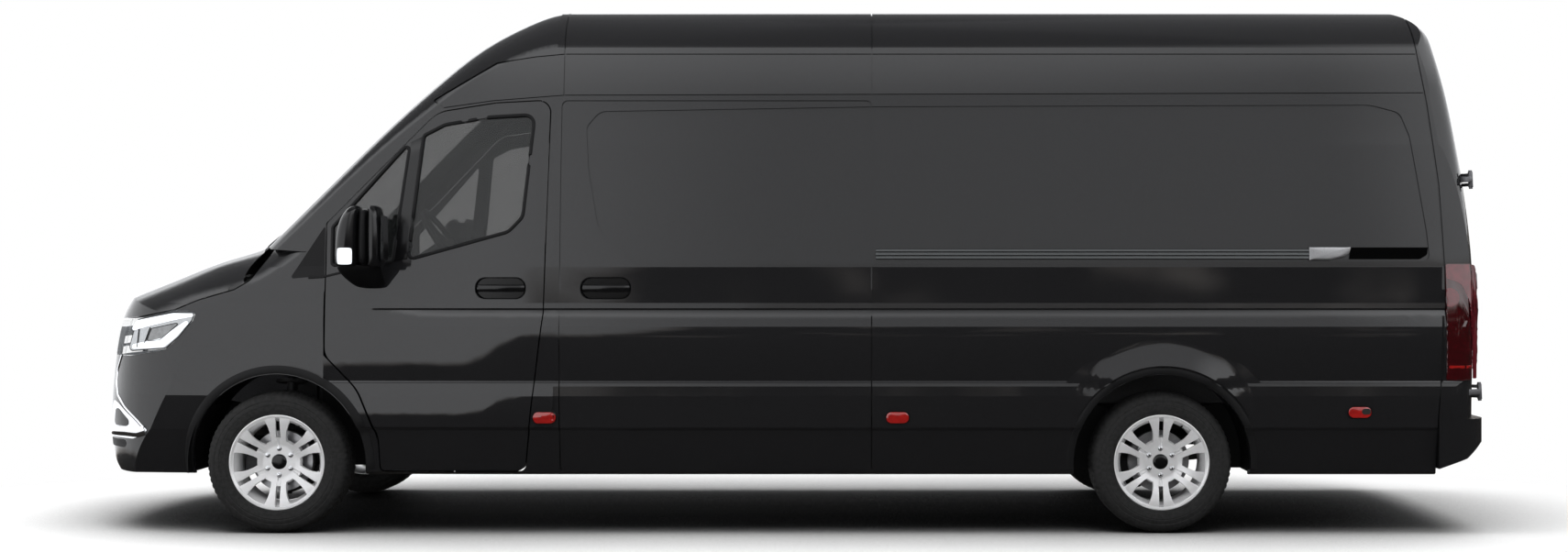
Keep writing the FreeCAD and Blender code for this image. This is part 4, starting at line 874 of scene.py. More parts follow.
# Headlamps: white light guide round a grey wedge, under a clear lens
LAMP_OUTLINE = [(-3.235, 0.885, 0.02), (-3.012, 0.903, 0.03), (-2.945, 0.958, 0.05), (-2.880, 1.038, 0.02),
                (-2.868, 1.070, 0.008), (-2.975, 1.077, 0.03), (-3.180, 1.040, 0.03)]
LAMP_BAND = [(-3.225, 0.980, 0.01), (-3.13, 1.004, 0.03), (-2.935, 1.047, 0.01), (-2.872, 1.058, 0.006),
             (-2.874, 1.073, 0.006), (-2.975, 1.074, 0.03), (-3.180, 1.036, 0.03)]
LAMP_BLADE = [(-3.215, 0.895, 0.01), (-3.022, 0.906, 0.03), (-2.955, 0.958, 0.05), (-2.886, 1.034, 0.008),
              (-2.912, 1.034, 0.01), (-2.985, 0.972, 0.05), (-3.035, 0.930, 0.03), (-3.20, 0.918, 0.01)]
LAMP_WEDGE = [(-3.118, 0.936, 0.008), (-3.042, 0.942, 0.02), (-2.994, 0.980, 0.04), (-2.935, 1.030, 0.006),
              (-3.090, 0.998, 0.008)]
LAMP_POSTS = [[(-3.130, 0.925), (-3.098, 1.003)], [(-3.175, 0.905), (-3.165, 0.995)]]
WEDGE_EDGE = 0.0035
LAMP_PLATES = [
    ("headlamp_bowl", LAMP_OUTLINE, 0.002, 0.0008, 6, 0.02, "lamp_bowl", "bare_steel"),
    ("headlamp_band", LAMP_BAND, 0.0015, 0.0034, 3, 0.012, "lamp_glow", "lamp_glass"),
    ("headlamp_blade", LAMP_BLADE, 0.0015, 0.0034, 2, 0.012, "lamp_glow", "lamp_glass"),
    ("headlamp_wedge", LAMP_WEDGE, 0.0015, 0.0025, 4, 0.012, "lamp_lens", "lamp_glass"),
]


def make_headlamps():
    for name, outline, thickness, lift, rings, spacing, material, slot in LAMP_PLATES:
        plate = patch(name, lamp_skin, rounded(outline), thickness, lift, rings, spacing)
        both_sides(name, plate, material, "body")
    for name, outline, width, lift in (("edge", LAMP_WEDGE, WEDGE_EDGE, 0.0040),
                                       ("rim", LAMP_OUTLINE, 0.006, 0.0005)):
        section = bead(width, 0.0012, 0.002, 4)
        mesh = skin_bead("headlamp_" + name, lamp_skin, rounded(outline), True, 0.015, section, lift)
        both_sides("headlamp_" + name, mesh, "gloss_black", "body")
    for index, post in enumerate(LAMP_POSTS):
        section = bead(WEDGE_EDGE, 0.0012, 0.002, 4)
        mesh = skin_bead("headlamp_post", lamp_skin, post, False, 0.015, section, 0.0040)
        both_sides("headlamp_post_%d" % index, mesh, "gloss_black", "body")


# Front corners: grille edge, fog surround and lower slot
FOG_SURROUND = [(-3.352, 0.640, 0.02), (-3.300, 0.622, 0.03), (-3.130, 0.506, 0.02), (-3.128, 0.474, 0.02),
                (-3.20, 0.452, 0.04), (-3.385, 0.455, 0.02)]
FOG_OPENING = [(-3.325, 0.605, 0.02), (-3.290, 0.590, 0.03), (-3.185, 0.512, 0.02), (-3.340, 0.512, 0.02)]
LOWER_SLOT = [(-3.395, 0.444, 0.012), (-3.235, 0.444, 0.02), (-3.255, 0.405, 0.02), (-3.385, 0.405, 0.012)]
FOG_LIP = [(-3.400, 0.478), (-3.330, 0.484), (-3.250, 0.487), (-3.170, 0.484), (-3.125, 0.496)]
CORNER_STRIP = [(-3.285, 0.862), (-3.318, 0.790), (-3.325, 0.720), (-3.310, 0.665), (-3.255, 0.605),
                (-3.170, 0.540), (-3.118, 0.492)]
bumper_skin = Skin("front_bumper", "grille", "headlamps")


def make_front_corners():
    surround = patch("fog_surround", bumper_skin, rounded(FOG_SURROUND), 0.002, 0.002, 5, 0.02)
    opening = patch("fog_opening", bumper_skin, rounded(FOG_OPENING), 0.001, 0.0035, 4, 0.02)
    slot = patch("lower_slot", bumper_skin, rounded(LOWER_SLOT), 0.001, 0.0015, 3, 0.02)
    strip = skin_bead("corner_strip", bumper_skin, CORNER_STRIP, False, 0.02, bead(0.016, 0.004), 0.001)
    lip = skin_bead("fog_lip", bumper_skin, FOG_LIP, False, 0.02, bead(0.050, 0.010), 0.001)
    both_sides("fog_lip", lip, "chrome", "body")
    both_sides("fog_surround", surround, "chrome", "body")
    both_sides("fog_opening", opening, "gloss_black", "body")
    both_sides("lower_slot", slot, "black_trim", "body")
    both_sides("corner_strip", strip, "chrome", "body")


# Sliding door rails: three-banded rail, end cap, and the slot behind it as a near-black sheet of painted
# shade
RAIL_LOW = 1.337
RAIL_HIGH = 1.386
RAIL_START = 0.475
RAIL_END = 2.586
END_CAP = [(2.588, 1.331, 0.002), (2.690, 1.331, 0.04), (2.785, 1.352, 0.05), (2.790, 1.396, 0.002),
           (2.588, 1.396, 0.002)]
RAIL_SLOT = [(2.784, 1.338, 0.002), (3.130, 1.338, 0.02), (3.166, 1.360, 0.02), (3.170, 1.396, 0.002),
             (2.792, 1.396, 0.002)]
panel_skin = Skin("side_left")


def make_rails():
    middle = (RAIL_LOW + RAIL_HIGH) / 2
    half = (RAIL_HIGH - RAIL_LOW) / 2
    line = [(RAIL_START, middle), (RAIL_END, middle)]
    groove = 0.0022
    band = (2 * half - 2 * 2 * groove) / 3
    section = [(-half, -0.002)]
    low = -half
    for _ in range(3):
        section += [(low, 0.0125), (low + 0.0025, 0.0145)]
        section += [(low + band - 0.0025, 0.0145), (low + band, 0.0125)]
        if low + band < half - 0.001:
            section += [(low + band, 0.006), (low + band + 2 * groove, 0.006)]
        low += band + 2 * groove
    section.append((half, -0.002))
    rail = skin_bead("rail_bands", panel_skin, line, False, 0.2, section)
    cap = patch("rail_cap", panel_skin, rounded(END_CAP), 0.012, 0.0145, 3, 0.02, 0.001)
    # Painted shade: the open slot is drawn as a near-black sheet laid on the panel
    slot = patch("rail_slot", panel_skin, rounded(RAIL_SLOT), 0.002, 0.0025, 3, 0.03)
    pieces = both_sides("rail_bands", rail, "rail", "body")
    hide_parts("door_rails")
    both_sides("rail_cap", bevelled(cap, 0.002), "bare_steel", "body")
    both_sides("rail_slot", slot, "slot_shade_black", "body")


# Tail lamps
PALE_BAND = [(3.252, 1.314, 0.01), (3.402, 1.312, 0.012), (3.412, 1.000), (3.410, 0.756, 0.006),
             (3.392, 0.756, 0.004), (3.388, 0.960), (3.366, 1.130, 0.2), (3.325, 1.220, 0.06),
             (3.254, 1.246, 0.01)]
BRAKE_DISC = (3.268, 1.152, 0.046)
LINE_SPAN = (3.262, 3.385)
LINE_HEIGHTS = (0.809, 0.821)
LENS_LOW = 0.752
LENS_HIGH = 1.316
LENS_FRONT = 3.252
LENS_REAR = 3.388
LENS_CURVE = [(0.750, -1.0060), (0.900, -1.0100), (1.000, -1.0090), (1.130, -0.9990), (1.320, -0.9790)]
tail_skin = Skin("tail_lamps", "rear_frame")


def lens_y(x, z):
    """Smooth lens outside the pressed panel, turning in with the body's corner."""
    for (z0, y0), (z1, y1) in zip(LENS_CURVE, LENS_CURVE[1:]):
        if z <= z1 or z1 == LENS_CURVE[-1][0]:
            share = (z - z0) / (z1 - z0)
            flat = y0 + (y1 - y0) * share
            break
    front = tail_skin.depth(LENS_FRONT + 0.012, z)
    here = tail_skin.depth(min(x, LENS_REAR), z)
    return flat if here is None or front is None else flat + max(0.0, here - front)


def lens_patch(name, outline, lift):
    """Part of the lamp's lens inside an outline, as a thin closed plate."""
    line = even(rounded(outline, 8), 0.012)
    shape = bmesh.new()
    verts = [shape.verts.new((point.x, 0.0, point.y)) for point in line]
    face = shape.faces.new(verts)
    bmesh.ops.triangulate(shape, faces=[face])
    bmesh.ops.subdivide_edges(shape, edges=[edge for edge in shape.edges if edge.calc_length() > 0.03],
                              cuts=3, use_grid_fill=True)
    bmesh.ops.triangulate(shape, faces=shape.faces[:])
    for vert in shape.verts:
        vert.co.y = lens_y(vert.co.x, vert.co.z) - lift
    mesh = closed_up(name, shape)
    facing_left(mesh)
    return with_modifier(mesh, "SOLIDIFY", thickness=0.003, offset=-1.0)


def make_tail_lamps():
    lens = [(LENS_FRONT, LENS_LOW, 0.006), (LENS_REAR, LENS_LOW, 0.006), (LENS_REAR, 1.05, 0.1),
            (LENS_REAR - 0.012, LENS_HIGH, 0.010), (LENS_FRONT, LENS_HIGH, 0.006)]
    x, z, radius = BRAKE_DISC
    circle = [Vector((max(LENS_FRONT + 0.002, x + radius * math.cos(a)), z + radius * math.sin(a))) for a in
              [2 * math.pi * step / 32 for step in range(32)]]
    start, end = LINE_SPAN
    low, high = LINE_HEIGHTS
    strip = [(start, low, 0.002), (end, low, 0.002), (end, high, 0.002), (start, high, 0.002)]
    for name, outline, lift, material in (("lamp_lens", lens, 0.0, "tail_lamp"),
                                          ("lamp_pale", PALE_BAND, 0.0008, "lamp_pink"),
                                          ("lamp_disc", circle, 0.0012, "lamp_pink"),
                                          ("lamp_line", strip, 0.0012, "marker_red")):
        both_sides(name, lens_patch(name, outline, lift), material, "body")


# Side markers, each an oval lens in a thin dark bezel
MARKERS = {"front": (-1.1365, 0.569), "middle": (0.580, 0.569), "rear": (2.827, 0.594)}
MARKER_HALF = (0.055, 0.0265)


def oval(x, z, half_length, half_height, radius=None):
    """Rounded oblong round a place, with half its height as radius where none is given."""
    radius = half_height * 0.98 if radius is None else radius
    corners = ((-1, -1), (1, -1), (1, 1), (-1, 1))
    return rounded([(x + half_length * a, z + half_height * b, radius) for a, b in corners], 8)


def make_markers():
    length, height = MARKER_HALF
    first = True
    for place, (x, z) in MARKERS.items():
        rim = oval(x, z, length + 0.004, height + 0.004)
        bezel = patch("marker_bezel", side_skin, rim, 0.004, 0.006, 3, 0.01)
        lens = patch("marker_lens", side_skin, oval(x, z, length, height), 0.004, 0.0085, 5, 0.01, 0.004)
        both_sides("marker_bezel_" + place, bezel, "gloss_black", "body")
        pieces = both_sides("marker_lens_" + place, bevelled(lens, 0.001), "marker_red", "body")
        if first:
            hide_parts("side_markers")
            first = False
        if place == "rear":
            spot = oval(x + 0.03, z + 0.004, 0.022, 0.014)
            clear = patch("marker_clear", side_skin, spot, 0.001, 0.0135, 3, 0.01)
            both_sides("marker_clear", clear, "chrome", "body")


# Wheel arch edges
ARCH_INNER = 0.434
ARCH_CENTRES = {"front": (-2.4525, 0.345), "rear": (1.8725, 0.345)}


def make_arch_edges():
    spans = {"front": (-103, 100), "rear": (-97, 97)}
    widths = {"front": 0.040, "rear": 0.030}
    skins = {"front": Skin("front_bumper", "wing_left", "front_door_left"), "rear": Skin("side_left")}
    for axle, (x, z) in ARCH_CENTRES.items():
        start, end = spans[axle]
        width = widths[axle]
        radius = ARCH_INNER + width / 2 + 0.001
        places = []
        normals = []
        steps = 60
        for index in range(steps + 1):
            angle = math.radians(start + (end - start) * index / steps)
            px = x + radius * math.sin(angle)
            pz = z + radius * math.cos(angle)
            if pz < 0.292:
                continue
            places.append(skins[axle].place(px, pz))
            normals.append(side_skin.normal(px, pz, 0.03))
        section = [(-width / 2, -0.004), (-width / 2, 0.0015), (-width / 2 + 0.004, 0.003),
                   (width / 2 - 0.004, 0.003), (width / 2, 0.001), (width / 2, -0.004)]
        mesh = swept("arch_edge_" + axle, places, normals, section, False)
        both_sides("arch_edge_" + axle, mesh, "arch_trim", "body")


# Hinges of the rear doors
HINGE_HEIGHTS = (0.690, 1.230, 1.730)
HINGE_FOOT = Vector((3.440, -0.908, 0.690))
HINGE_DIRECTION = Vector((-0.0423, 0.0, 0.9991))
PIN_PARTS = ((0.0, 0.0115, 0.075), (-0.041, 0.009, 0.009), (0.041, 0.009, 0.009))
ARM_WIDTH = 0.028
STRAP_WIDTH = 0.016
STRAP_LIFT = 0.024
LEAF_THICKNESS = 0.007
HINGE_ROOT_INSET = 0.030
SEARCH_STEP = 0.01
SEARCH_STEPS = 30


def surface_behind(names, y, z):
    """First place inwards from y where a line from behind the vehicle meets the named nodes."""
    for step in range(SEARCH_STEPS):
        start = Vector((10.0, y + SEARCH_STEP * step, z))
        hits = [trees[name].ray_cast(start, Vector((-1, 0, 0)))[0] for name in names]
        hits = [hit for hit in hits if hit is not None]
        if hits:
            return max(hits, key=lambda hit: hit.x)
    raise ValueError("nothing stands behind y %.3f, z %.3f" % (y, z))


trees = {}


def grow_trees():
    for name in ("rear_frame", "rear_door_left", "tail_lamps", "rear_bumper", "side_left", "windscreen"):
        mesh = nodes[name].data
        trees[name] = BVHTree.FromPolygons([v.co for v in mesh.vertices], [p.vertices for p in mesh.polygons])


def hinge_leaf(name, line, width):
    """Bent strap along points, upright and rounded at its edges."""
    normals = []
    for index in range(len(line)):
        run = line[min(index + 1, len(line) - 1)] - line[max(index - 1, 0)]
        normals.append(run.cross(Vector((0, 0, 1))).normalized())
    half = width / 2
    thick = LEAF_THICKNESS / 2
    section = [(-half, -thick), (half, -thick), (half, thick), (-half, thick)]
    return bevelled(outwards(swept(name, line, normals, section, False)), 0.0015)


def hinge_pin(middle):
    """Pin with a collar at each end, along the hinge line."""
    shape = bmesh.new()
    turn = HINGE_DIRECTION.to_track_quat("Z", "Y").to_matrix().to_4x4()
    for step, radius, length in PIN_PARTS:
        place = Matrix.Translation(middle + HINGE_DIRECTION * step) @ turn
        bmesh.ops.create_cone(shape, cap_ends=True, segments=20, radius1=radius, radius2=radius,
                              depth=length, matrix=place)
    return bevelled(closed_up("rear_hinge_pin", shape), 0.001)


def hinge_arm(middle, height):
    """Arm on the body, from the panel round the corner to the pin."""
    root_y = side_skin.depth(3.0, height) + HINGE_ROOT_INSET
    root = surface_behind(("rear_frame", "tail_lamps", "rear_bumper", "side_left"), root_y, height)
    root += Vector((-0.004, 0, 0))
    bend = Vector((middle.x - 0.018, -0.940, height))
    elbow = root.lerp(bend, 0.6) + Vector((0, -0.004, 0))
    return hinge_leaf("rear_hinge_arm", [root, elbow, bend, middle + Vector((0.002, -0.012, 0))], ARM_WIDTH)


def strap_line(middle, height):
    """Places from the pin to the door's outside and along it."""
    lift = Vector((0.005, 0, 0))
    elbow = surface_behind(("rear_door_left",), -0.868, height) + lift
    tip = surface_behind(("rear_door_left",), elbow.y + 0.05, height) + lift
    return [middle + Vector((0.004, 0.011, 0)), elbow + Vector((0.012, -0.012, 0)), elbow, tip]


def make_rear_hinges():
    for index, height in enumerate(HINGE_HEIGHTS):
        middle = HINGE_FOOT + HINGE_DIRECTION * ((height - HINGE_FOOT.z) / HINGE_DIRECTION.z)
        both_sides("rear_hinge_pin_%d" % index, hinge_pin(middle), "cast_metal", "body")
        arm = hinge_arm(middle, height)
        both_sides("rear_hinge_arm_%d" % index, arm, "cast_metal", "body")
        line = strap_line(middle, height)
        for part, lift in (("low", -STRAP_LIFT), ("high", STRAP_LIFT)):
            name = "rear_hinge_plate_%s_%d" % (part, index)
            strap = hinge_leaf(name, [point + Vector((0, 0, lift)) for point in line], STRAP_WIDTH)
            both_sides(name, strap, "cast_metal", "rear_door_{side}")


# Black linings of the wheel housings
LINER_RADIUS = 0.444
LINER_THICKNESS = 0.004
LINER_INNER_Y = {"front": -0.520, "rear": -0.660}
LINER_OUTER_Y = -0.925


def liner_wall(x, z, start, end, inner, outer, steps=14):
    """Part of a round housing with shallow ribs, from the inner wall to the arch."""
    rows = 10
    places = []
    for row in range(rows + 1):
        y = inner + (outer - inner) * row / rows
        for index in range(steps + 1):
            angle = math.radians(start + (end - start) * index / steps)
            radius = LINER_RADIUS + (0.003 if row % 3 == 1 else 0.0)
            places.append(Vector((x + radius * math.sin(angle), y, z + radius * math.cos(angle))))
    mesh = mesh_of("liner_wall", places, strip_faces(rows + 1, steps + 1, joined=False))
    return with_modifier(mesh, "SOLIDIFY", thickness=LINER_THICKNESS, offset=0.0)


def liner_side(x, z, start, end, y, steps=14):
    """Inner wall of the housing between two turns, down from the round part."""
    angles = [math.radians(start + (end - start) * step / steps) for step in range(steps + 1)]
    outline = [(x + LINER_RADIUS * math.sin(angle), z + LINER_RADIUS * math.cos(angle)) for angle in angles]
    sign = -1 if start < 0 else 1
    outline += [(x + sign * 0.235, outline[-1][1]), (x + sign * 0.235, z + 0.25)]
    places = [Vector((px, y, pz)) for px, pz in outline]
    mesh = mesh_of("liner_side", places, [tuple(range(len(places)))])
    return with_modifier(mesh, "SOLIDIFY", thickness=LINER_THICKNESS, offset=0.0)


def make_liners():
    for axle, (x, z) in ARCH_CENTRES.items():
        inner = LINER_INNER_Y[axle]
        for part, start, end in (("ahead", -52, -97), ("behind", 52, 97)):
            wall = liner_wall(x, z, start, end, inner, LINER_OUTER_Y)
            both_sides("liner_wall_%s_%s" % (axle, part), wall, "arch_trim", "body")
            side = liner_side(x, z, start, end, inner)
            both_sides("liner_side_%s_%s" % (axle, part), side, "arch_trim", "body")


# Pressed flare over the rear wheel: it leans out towards the arch
FLARE_INNER = 0.475
FLARE_OUTER = 0.605
FLARE_RISE = 0.014


def make_rear_flare():
    skin = Skin("side_left")
    x, z = ARCH_CENTRES["rear"]
    steps = 48
    rings = 7
    places = []
    for ring in range(rings + 1):
        share = ring / rings
        for index in range(steps + 1):
            angle = math.radians(-62 + 124 * index / steps)
            fade = math.cos(math.radians(-90 + 180 * index / steps)) ** 0.5 if 0 < index < steps else 0.0
            radius = FLARE_INNER + (FLARE_OUTER - FLARE_INNER) * share * (0.15 + 0.85 * fade)
            px = x + radius * math.sin(angle)
            pz = z + radius * math.cos(angle)
            rise = FLARE_RISE * fade * (1 - share) ** 1.3 + 0.0006
            places.append(skin.place(px, pz) + Vector((0, -rise, 0)))
    mesh = mesh_of("rear_flare", places, strip_faces(rings + 1, steps + 1, joined=False))
    facing_left(mesh)
    mesh = with_modifier(mesh, "SOLIDIFY", thickness=0.012, offset=-1.0)
    both_sides("rear_flare", mesh, "body_paint", "body")


# Seats: padded cushions, backs and headrests, swollen by a cloth simulation
PADDING = 0.012
SIDE_PULL = 0.012
CHANNEL_DEEP = 0.006
CHANNEL_WIDE = 0.009
SWELL_LIMIT = 0.022
VOXEL = 0.011
CUSHION_X = (-1.555, -1.075)
BACK_X = (-1.058, -0.932)
SEAT_HEIGHTS = (0.932, 1.050, 1.400, 1.598)
BOLSTER_SHARE = 0.17
SEATS = {"driver_seat": (-0.636, -0.224), "passenger_seat": (-0.016, 0.816)}


def crowned_block(name, low, high, crown):
    """Closed block whose top is crowned and whose sides pull in between the corners."""
    shape = bmesh.new()
    bmesh.ops.create_cube(shape, size=1.0)
    bmesh.ops.subdivide_edges(shape, edges=shape.edges[:], cuts=7, use_grid_fill=True)
    middle = (low + high) / 2
    size = high - low
    for vert in shape.verts:
        u, v, w = vert.co * 2
        inset = SIDE_PULL * (1 - abs(w)) if abs(w) < 1 else 0.0
        x = middle.x + vert.co.x * (size.x - 2 * inset * (1 - v * v))
        y = middle.y + vert.co.y * (size.y - 2 * inset * (1 - u * u))
        z = middle.z + vert.co.z * size.z
        rise = crown * (1 - u * u) * (1 - v * v)
        if crown:
            z += rise - crown if w > 0.99 else -crown * max(0.0, w)
        vert.co = Vector((x, y, z))
    return closed_up(name, shape)


def padded_mesh(mesh, low, high):
    """Remeshed, swollen by pressure, kept inside the seat's space and smoothed once."""
    mesh = with_modifier(bevelled(mesh, 0.018, 3, 30), "REMESH", mode="VOXEL", voxel_size=VOXEL)
    before = [vert.co.copy() for vert in mesh.vertices]
    holder = bpy.data.objects.new("cloth", mesh)
    bpy.context.scene.collection.objects.link(holder)
    cloth = holder.modifiers.new("cloth", "CLOTH")
    cloth.settings.use_pressure = True
    cloth.settings.uniform_pressure_force = 4.0
    cloth.settings.effector_weights.gravity = 0.0
    cloth.settings.quality = 4
    for step in range(1, 21):
        bpy.context.scene.frame_set(step)
    graph = bpy.context.evaluated_depsgraph_get()
    swollen = bpy.data.meshes.new_from_object(holder.evaluated_get(graph))
    bpy.data.objects.remove(holder)
    bpy.context.scene.frame_set(1)
    for vert, start in zip(swollen.vertices, before):
        move = vert.co - start
        if move.length > SWELL_LIMIT:
            move = move.normalized() * SWELL_LIMIT
        spot = start + move
        vert.co = Vector([min(max(spot[axis], low[axis]), high[axis]) for axis in range(3)])
    mesh = swollen
    return with_modifier(mesh, "SUBSURF", levels=1, render_levels=1)


def sewn(mesh, facing, lines):
    """Channels pressed into the faces that look along facing, at the given places across or along."""
    axis = max(range(3), key=lambda index: abs(facing[index]))
    for vert in mesh.vertices:
        if vert.normal.dot(facing) < 0.35:
            continue
        press = 0.0
        for across, value, low, high, other in lines:
            if low <= vert.co[other] <= high:
                press = max(press, math.exp(-((vert.co[across] - value) / CHANNEL_WIDE) ** 2))
        vert.co[axis] -= CHANNEL_DEEP * press * (1 if facing[axis] > 0 else -1)
    return mesh


def upholster(label, low, high, crown, facing, runs):
    """Padded piece that fills a space, with channels along its runs."""
    inset = Vector((PADDING, PADDING, PADDING))
    mesh = padded_mesh(crowned_block(label, low + inset, high - inset, crown), low, high)
    piece = add_piece(label, sewn(mesh, facing, runs), "seat_fabric", "body")
    return piece


def channels(left, right, along, low, high, margins, shares):
    """Two lines near the sides and cross lines between them, by their shares of the length."""
    bolster = (right - left) * BOLSTER_SHARE
    ends = (low[along] + margins[0], high[along] - margins[1])
    runs = [(1, side, ends[0], ends[1], along) for side in (left + bolster, right - bolster)]
    runs += [(along, low[along] + share * (high[along] - low[along]), left + bolster, right - bolster, 1)
             for share in shares]
    return runs


def headrest_posts(middle):
    posts = bmesh.new()
    for aside in (-0.055, 0.055):
        spot = Matrix.Translation(((BACK_X[0] + BACK_X[1]) / 2, middle + aside, SEAT_HEIGHTS[2] + 0.02))
        bmesh.ops.create_cone(posts, cap_ends=True, segments=16, radius1=0.006, radius2=0.006,
                              depth=0.075, matrix=spot)
    return bevelled(closed_up("headrest_posts", posts), 0.001)


def make_seat_place(label, seat, left, right):
    """Cushion, back, headrest and its posts for one place."""
    forward = Vector((-1, 0, 0))
    low = Vector((CUSHION_X[0], left, SEAT_HEIGHTS[0]))
    high = Vector((CUSHION_X[1], right, SEAT_HEIGHTS[1]))
    runs = channels(left, right, 0, low, high, (0.03, 0.02), (0.22, 0.48, 0.74))
    cushion = upholster(label + "_cushion", low, high, 0.014, Vector((0, 0, 1)), runs)
    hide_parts(seat)
    low = Vector((BACK_X[0], left + 0.01, SEAT_HEIGHTS[1] - 0.06))
    high = Vector((BACK_X[1], right - 0.01, SEAT_HEIGHTS[2]))
    runs = channels(left, right, 2, low, high, (0.03, 0.03), (0.25, 0.5, 0.75))
    upholster(label + "_back", low, high, 0.0, forward, runs)
    middle = (left + right) / 2
    low = Vector((BACK_X[0] + 0.014, middle - 0.125, SEAT_HEIGHTS[2] + 0.03))
    high = Vector((BACK_X[1] - 0.014, middle + 0.125, SEAT_HEIGHTS[3]))
    runs = [(1, middle + aside, low.z, high.z, 2) for aside in (-0.08, 0.08)]
    upholster(label + "_headrest", low, high, 0.0, forward, runs)
    add_piece(label + "_posts", headrest_posts(middle), "chrome", "body")


def make_seats():
    for seat, (y0, y1) in SEATS.items():
        middle = (y0 + y1) / 2
        places = [(y0, y1)] if seat == "driver_seat" else [(y0, middle - 0.004), (middle + 0.004, y1)]
        for index, (left, right) in enumerate(places):
            make_seat_place("%s_%d" % (seat, index), seat, left, right)


# Seat belts
BELT_PILLAR_Y = -0.835
BELT_X = -1.02
BELT_TOP = 1.74
BELT_FOOT = 0.86


def make_belts():
    """Belts stowed straight down their pillars, each with its loop, tongue and reel cover."""
    line = [Vector((BELT_X, BELT_PILLAR_Y - 0.012 * math.sin(math.pi * step / 12),
                    BELT_FOOT + (BELT_TOP - BELT_FOOT) * step / 12)) for step in range(13)]
    normals = [Vector((0, 1, 0)) for _ in line]
    strap = swept("belt", line, normals, [(-0.0235, -0.0006), (0.0235, -0.0006), (0.0235, 0.0006),
                                          (-0.0235, 0.0006)], False)
    both_sides("belt", outwards(strap), "belt_web", "body")
    for name, z, height, width in (("belt_loop", BELT_TOP, 0.05, 0.036), ("belt_tongue", 1.22, 0.045, 0.030),
                                   ("belt_reel", BELT_FOOT - 0.02, 0.09, 0.040)):
        end = (BELT_X - width * 0.8, BELT_X + width * 0.8, BELT_PILLAR_Y - 0.016, BELT_PILLAR_Y + 0.008)
        full = (BELT_X - width, BELT_X + width, BELT_PILLAR_Y - 0.018, BELT_PILLAR_Y + 0.012)
        half = height / 2
        cover = soft_box(name, [(z - half, *end), (z - half + 0.006, *full), (z + half - 0.006, *full),
                                (z + half, *end)])
        both_sides(name, cover, "cabin_plastic", "body")


# Rear doors: handle, blank plate recess and high brake lamp
HANDLE_HEIGHT = 1.16
PLATE_MIDDLE = (-0.34, 0.86)
PLATE_HALF = (0.26, 0.06)
PLATE_TOP = PLATE_MIDDLE[1] + PLATE_HALF[1]
PLATE_FOOT = PLATE_MIDDLE[1] - PLATE_HALF[1]
LIGHT_PLACES = (-0.50, -0.18)

# Each fitting: name, y and z from and to, lift, thickness, columns, rows, material and slot
HANDLE_PARTS = [
    ("rear_handle_cup", -0.165, -0.030, HANDLE_HEIGHT - 0.045, HANDLE_HEIGHT + 0.045, 0.004, 0.006, 8, 6,
     "gloss_black"),
    ("rear_handle_grip", -0.150, -0.045, HANDLE_HEIGHT - 0.004, HANDLE_HEIGHT + 0.024, 0.020, 0.012, 8, 6,
     "black_trim"),
    ("rear_lock", -0.120, -0.085, HANDLE_HEIGHT - 0.085, HANDLE_HEIGHT - 0.055, 0.003, 0.004, 4, 4,
     "black_trim"),
]
PLATE_PARTS = [
    ("plate_surround", -0.62, -0.06, PLATE_FOOT - 0.02, PLATE_TOP + 0.03, 0.005, 0.006, 14, 6,
     "black_trim", "black_trim"),
    ("blank_plate", PLATE_MIDDLE[0] - PLATE_HALF[0], PLATE_MIDDLE[0] + PLATE_HALF[0], PLATE_FOOT, PLATE_TOP,
     0.0075, 0.002, 14, 4, "lamp_white", "lamp_glass"),
]


def rear_x(y, z):
    return surface_behind(("rear_door_left",), y, z).x


def rear_plate(name, y0, y1, z0, z1, lift, thickness, columns, rows):
    """Thin closed plate that follows the left rear door's outside, with bevelled edges."""
    places = []
    for row in range(rows + 1):
        for column in range(columns + 1):
            y = y0 + (y1 - y0) * column / columns
            z = z0 + (z1 - z0) * row / rows
            places.append(Vector((rear_x(y, z) + lift, y, z)))
    mesh = mesh_of(name, places, strip_faces(rows + 1, columns + 1, joined=False))
    if mesh.polygons[0].normal.x < 0:
        mesh.flip_normals()
    mesh = with_modifier(mesh, "SOLIDIFY", thickness=thickness, offset=-1.0)
    return bevelled(mesh, min(0.003, thickness / 3))


def make_rear_fittings():
    for *form, material in HANDLE_PARTS:
        name = form[0]
        add_piece(name, flipped(rear_plate(*form), name), material, "rear_door_right")
    for *form, material, slot in PLATE_PARTS:
        add_piece(form[0], rear_plate(*form), material, "rear_door_left")
    for index, y in enumerate(LIGHT_PLACES):
        light = rear_plate("plate_light", y - 0.035, y + 0.035, PLATE_TOP + 0.008, PLATE_TOP + 0.026,
                           0.018, 0.012, 4, 3)
        add_piece("plate_light_%d" % index, light, "black_trim", "rear_door_left")
    brake = rear_plate("high_brake_lamp", -0.20, -0.04, 2.345, 2.375, 0.006, 0.008, 8, 3)
    both_sides("high_brake_lamp", brake, "marker_red", "rear_door_{side}")


# Windscreen wipers at rest along the foot of the glass
WIPERS = [(Vector((-2.585, -0.62)), Vector((-2.475, -0.10))),
          (Vector((-2.600, 0.10)), Vector((-2.475, 0.60)))]
WIPER_STEPS = 24
BLADE_SECTION = [(-0.006, -0.006), (0.006, -0.006), (0.003, 0.006), (-0.003, 0.006)]
ARM_SECTION = [(-0.009, -0.003), (0.009, -0.003), (0.006, 0.004), (-0.006, 0.004)]


def glass_point(x, y):
    """Where the windscreen lies above a place."""
    place, normal = trees["windscreen"].ray_cast(Vector((x, y, 4.0)), Vector((0, 0, -1)))[:2]
    return None if place is None else (place, normal if normal.z > 0 else -normal)


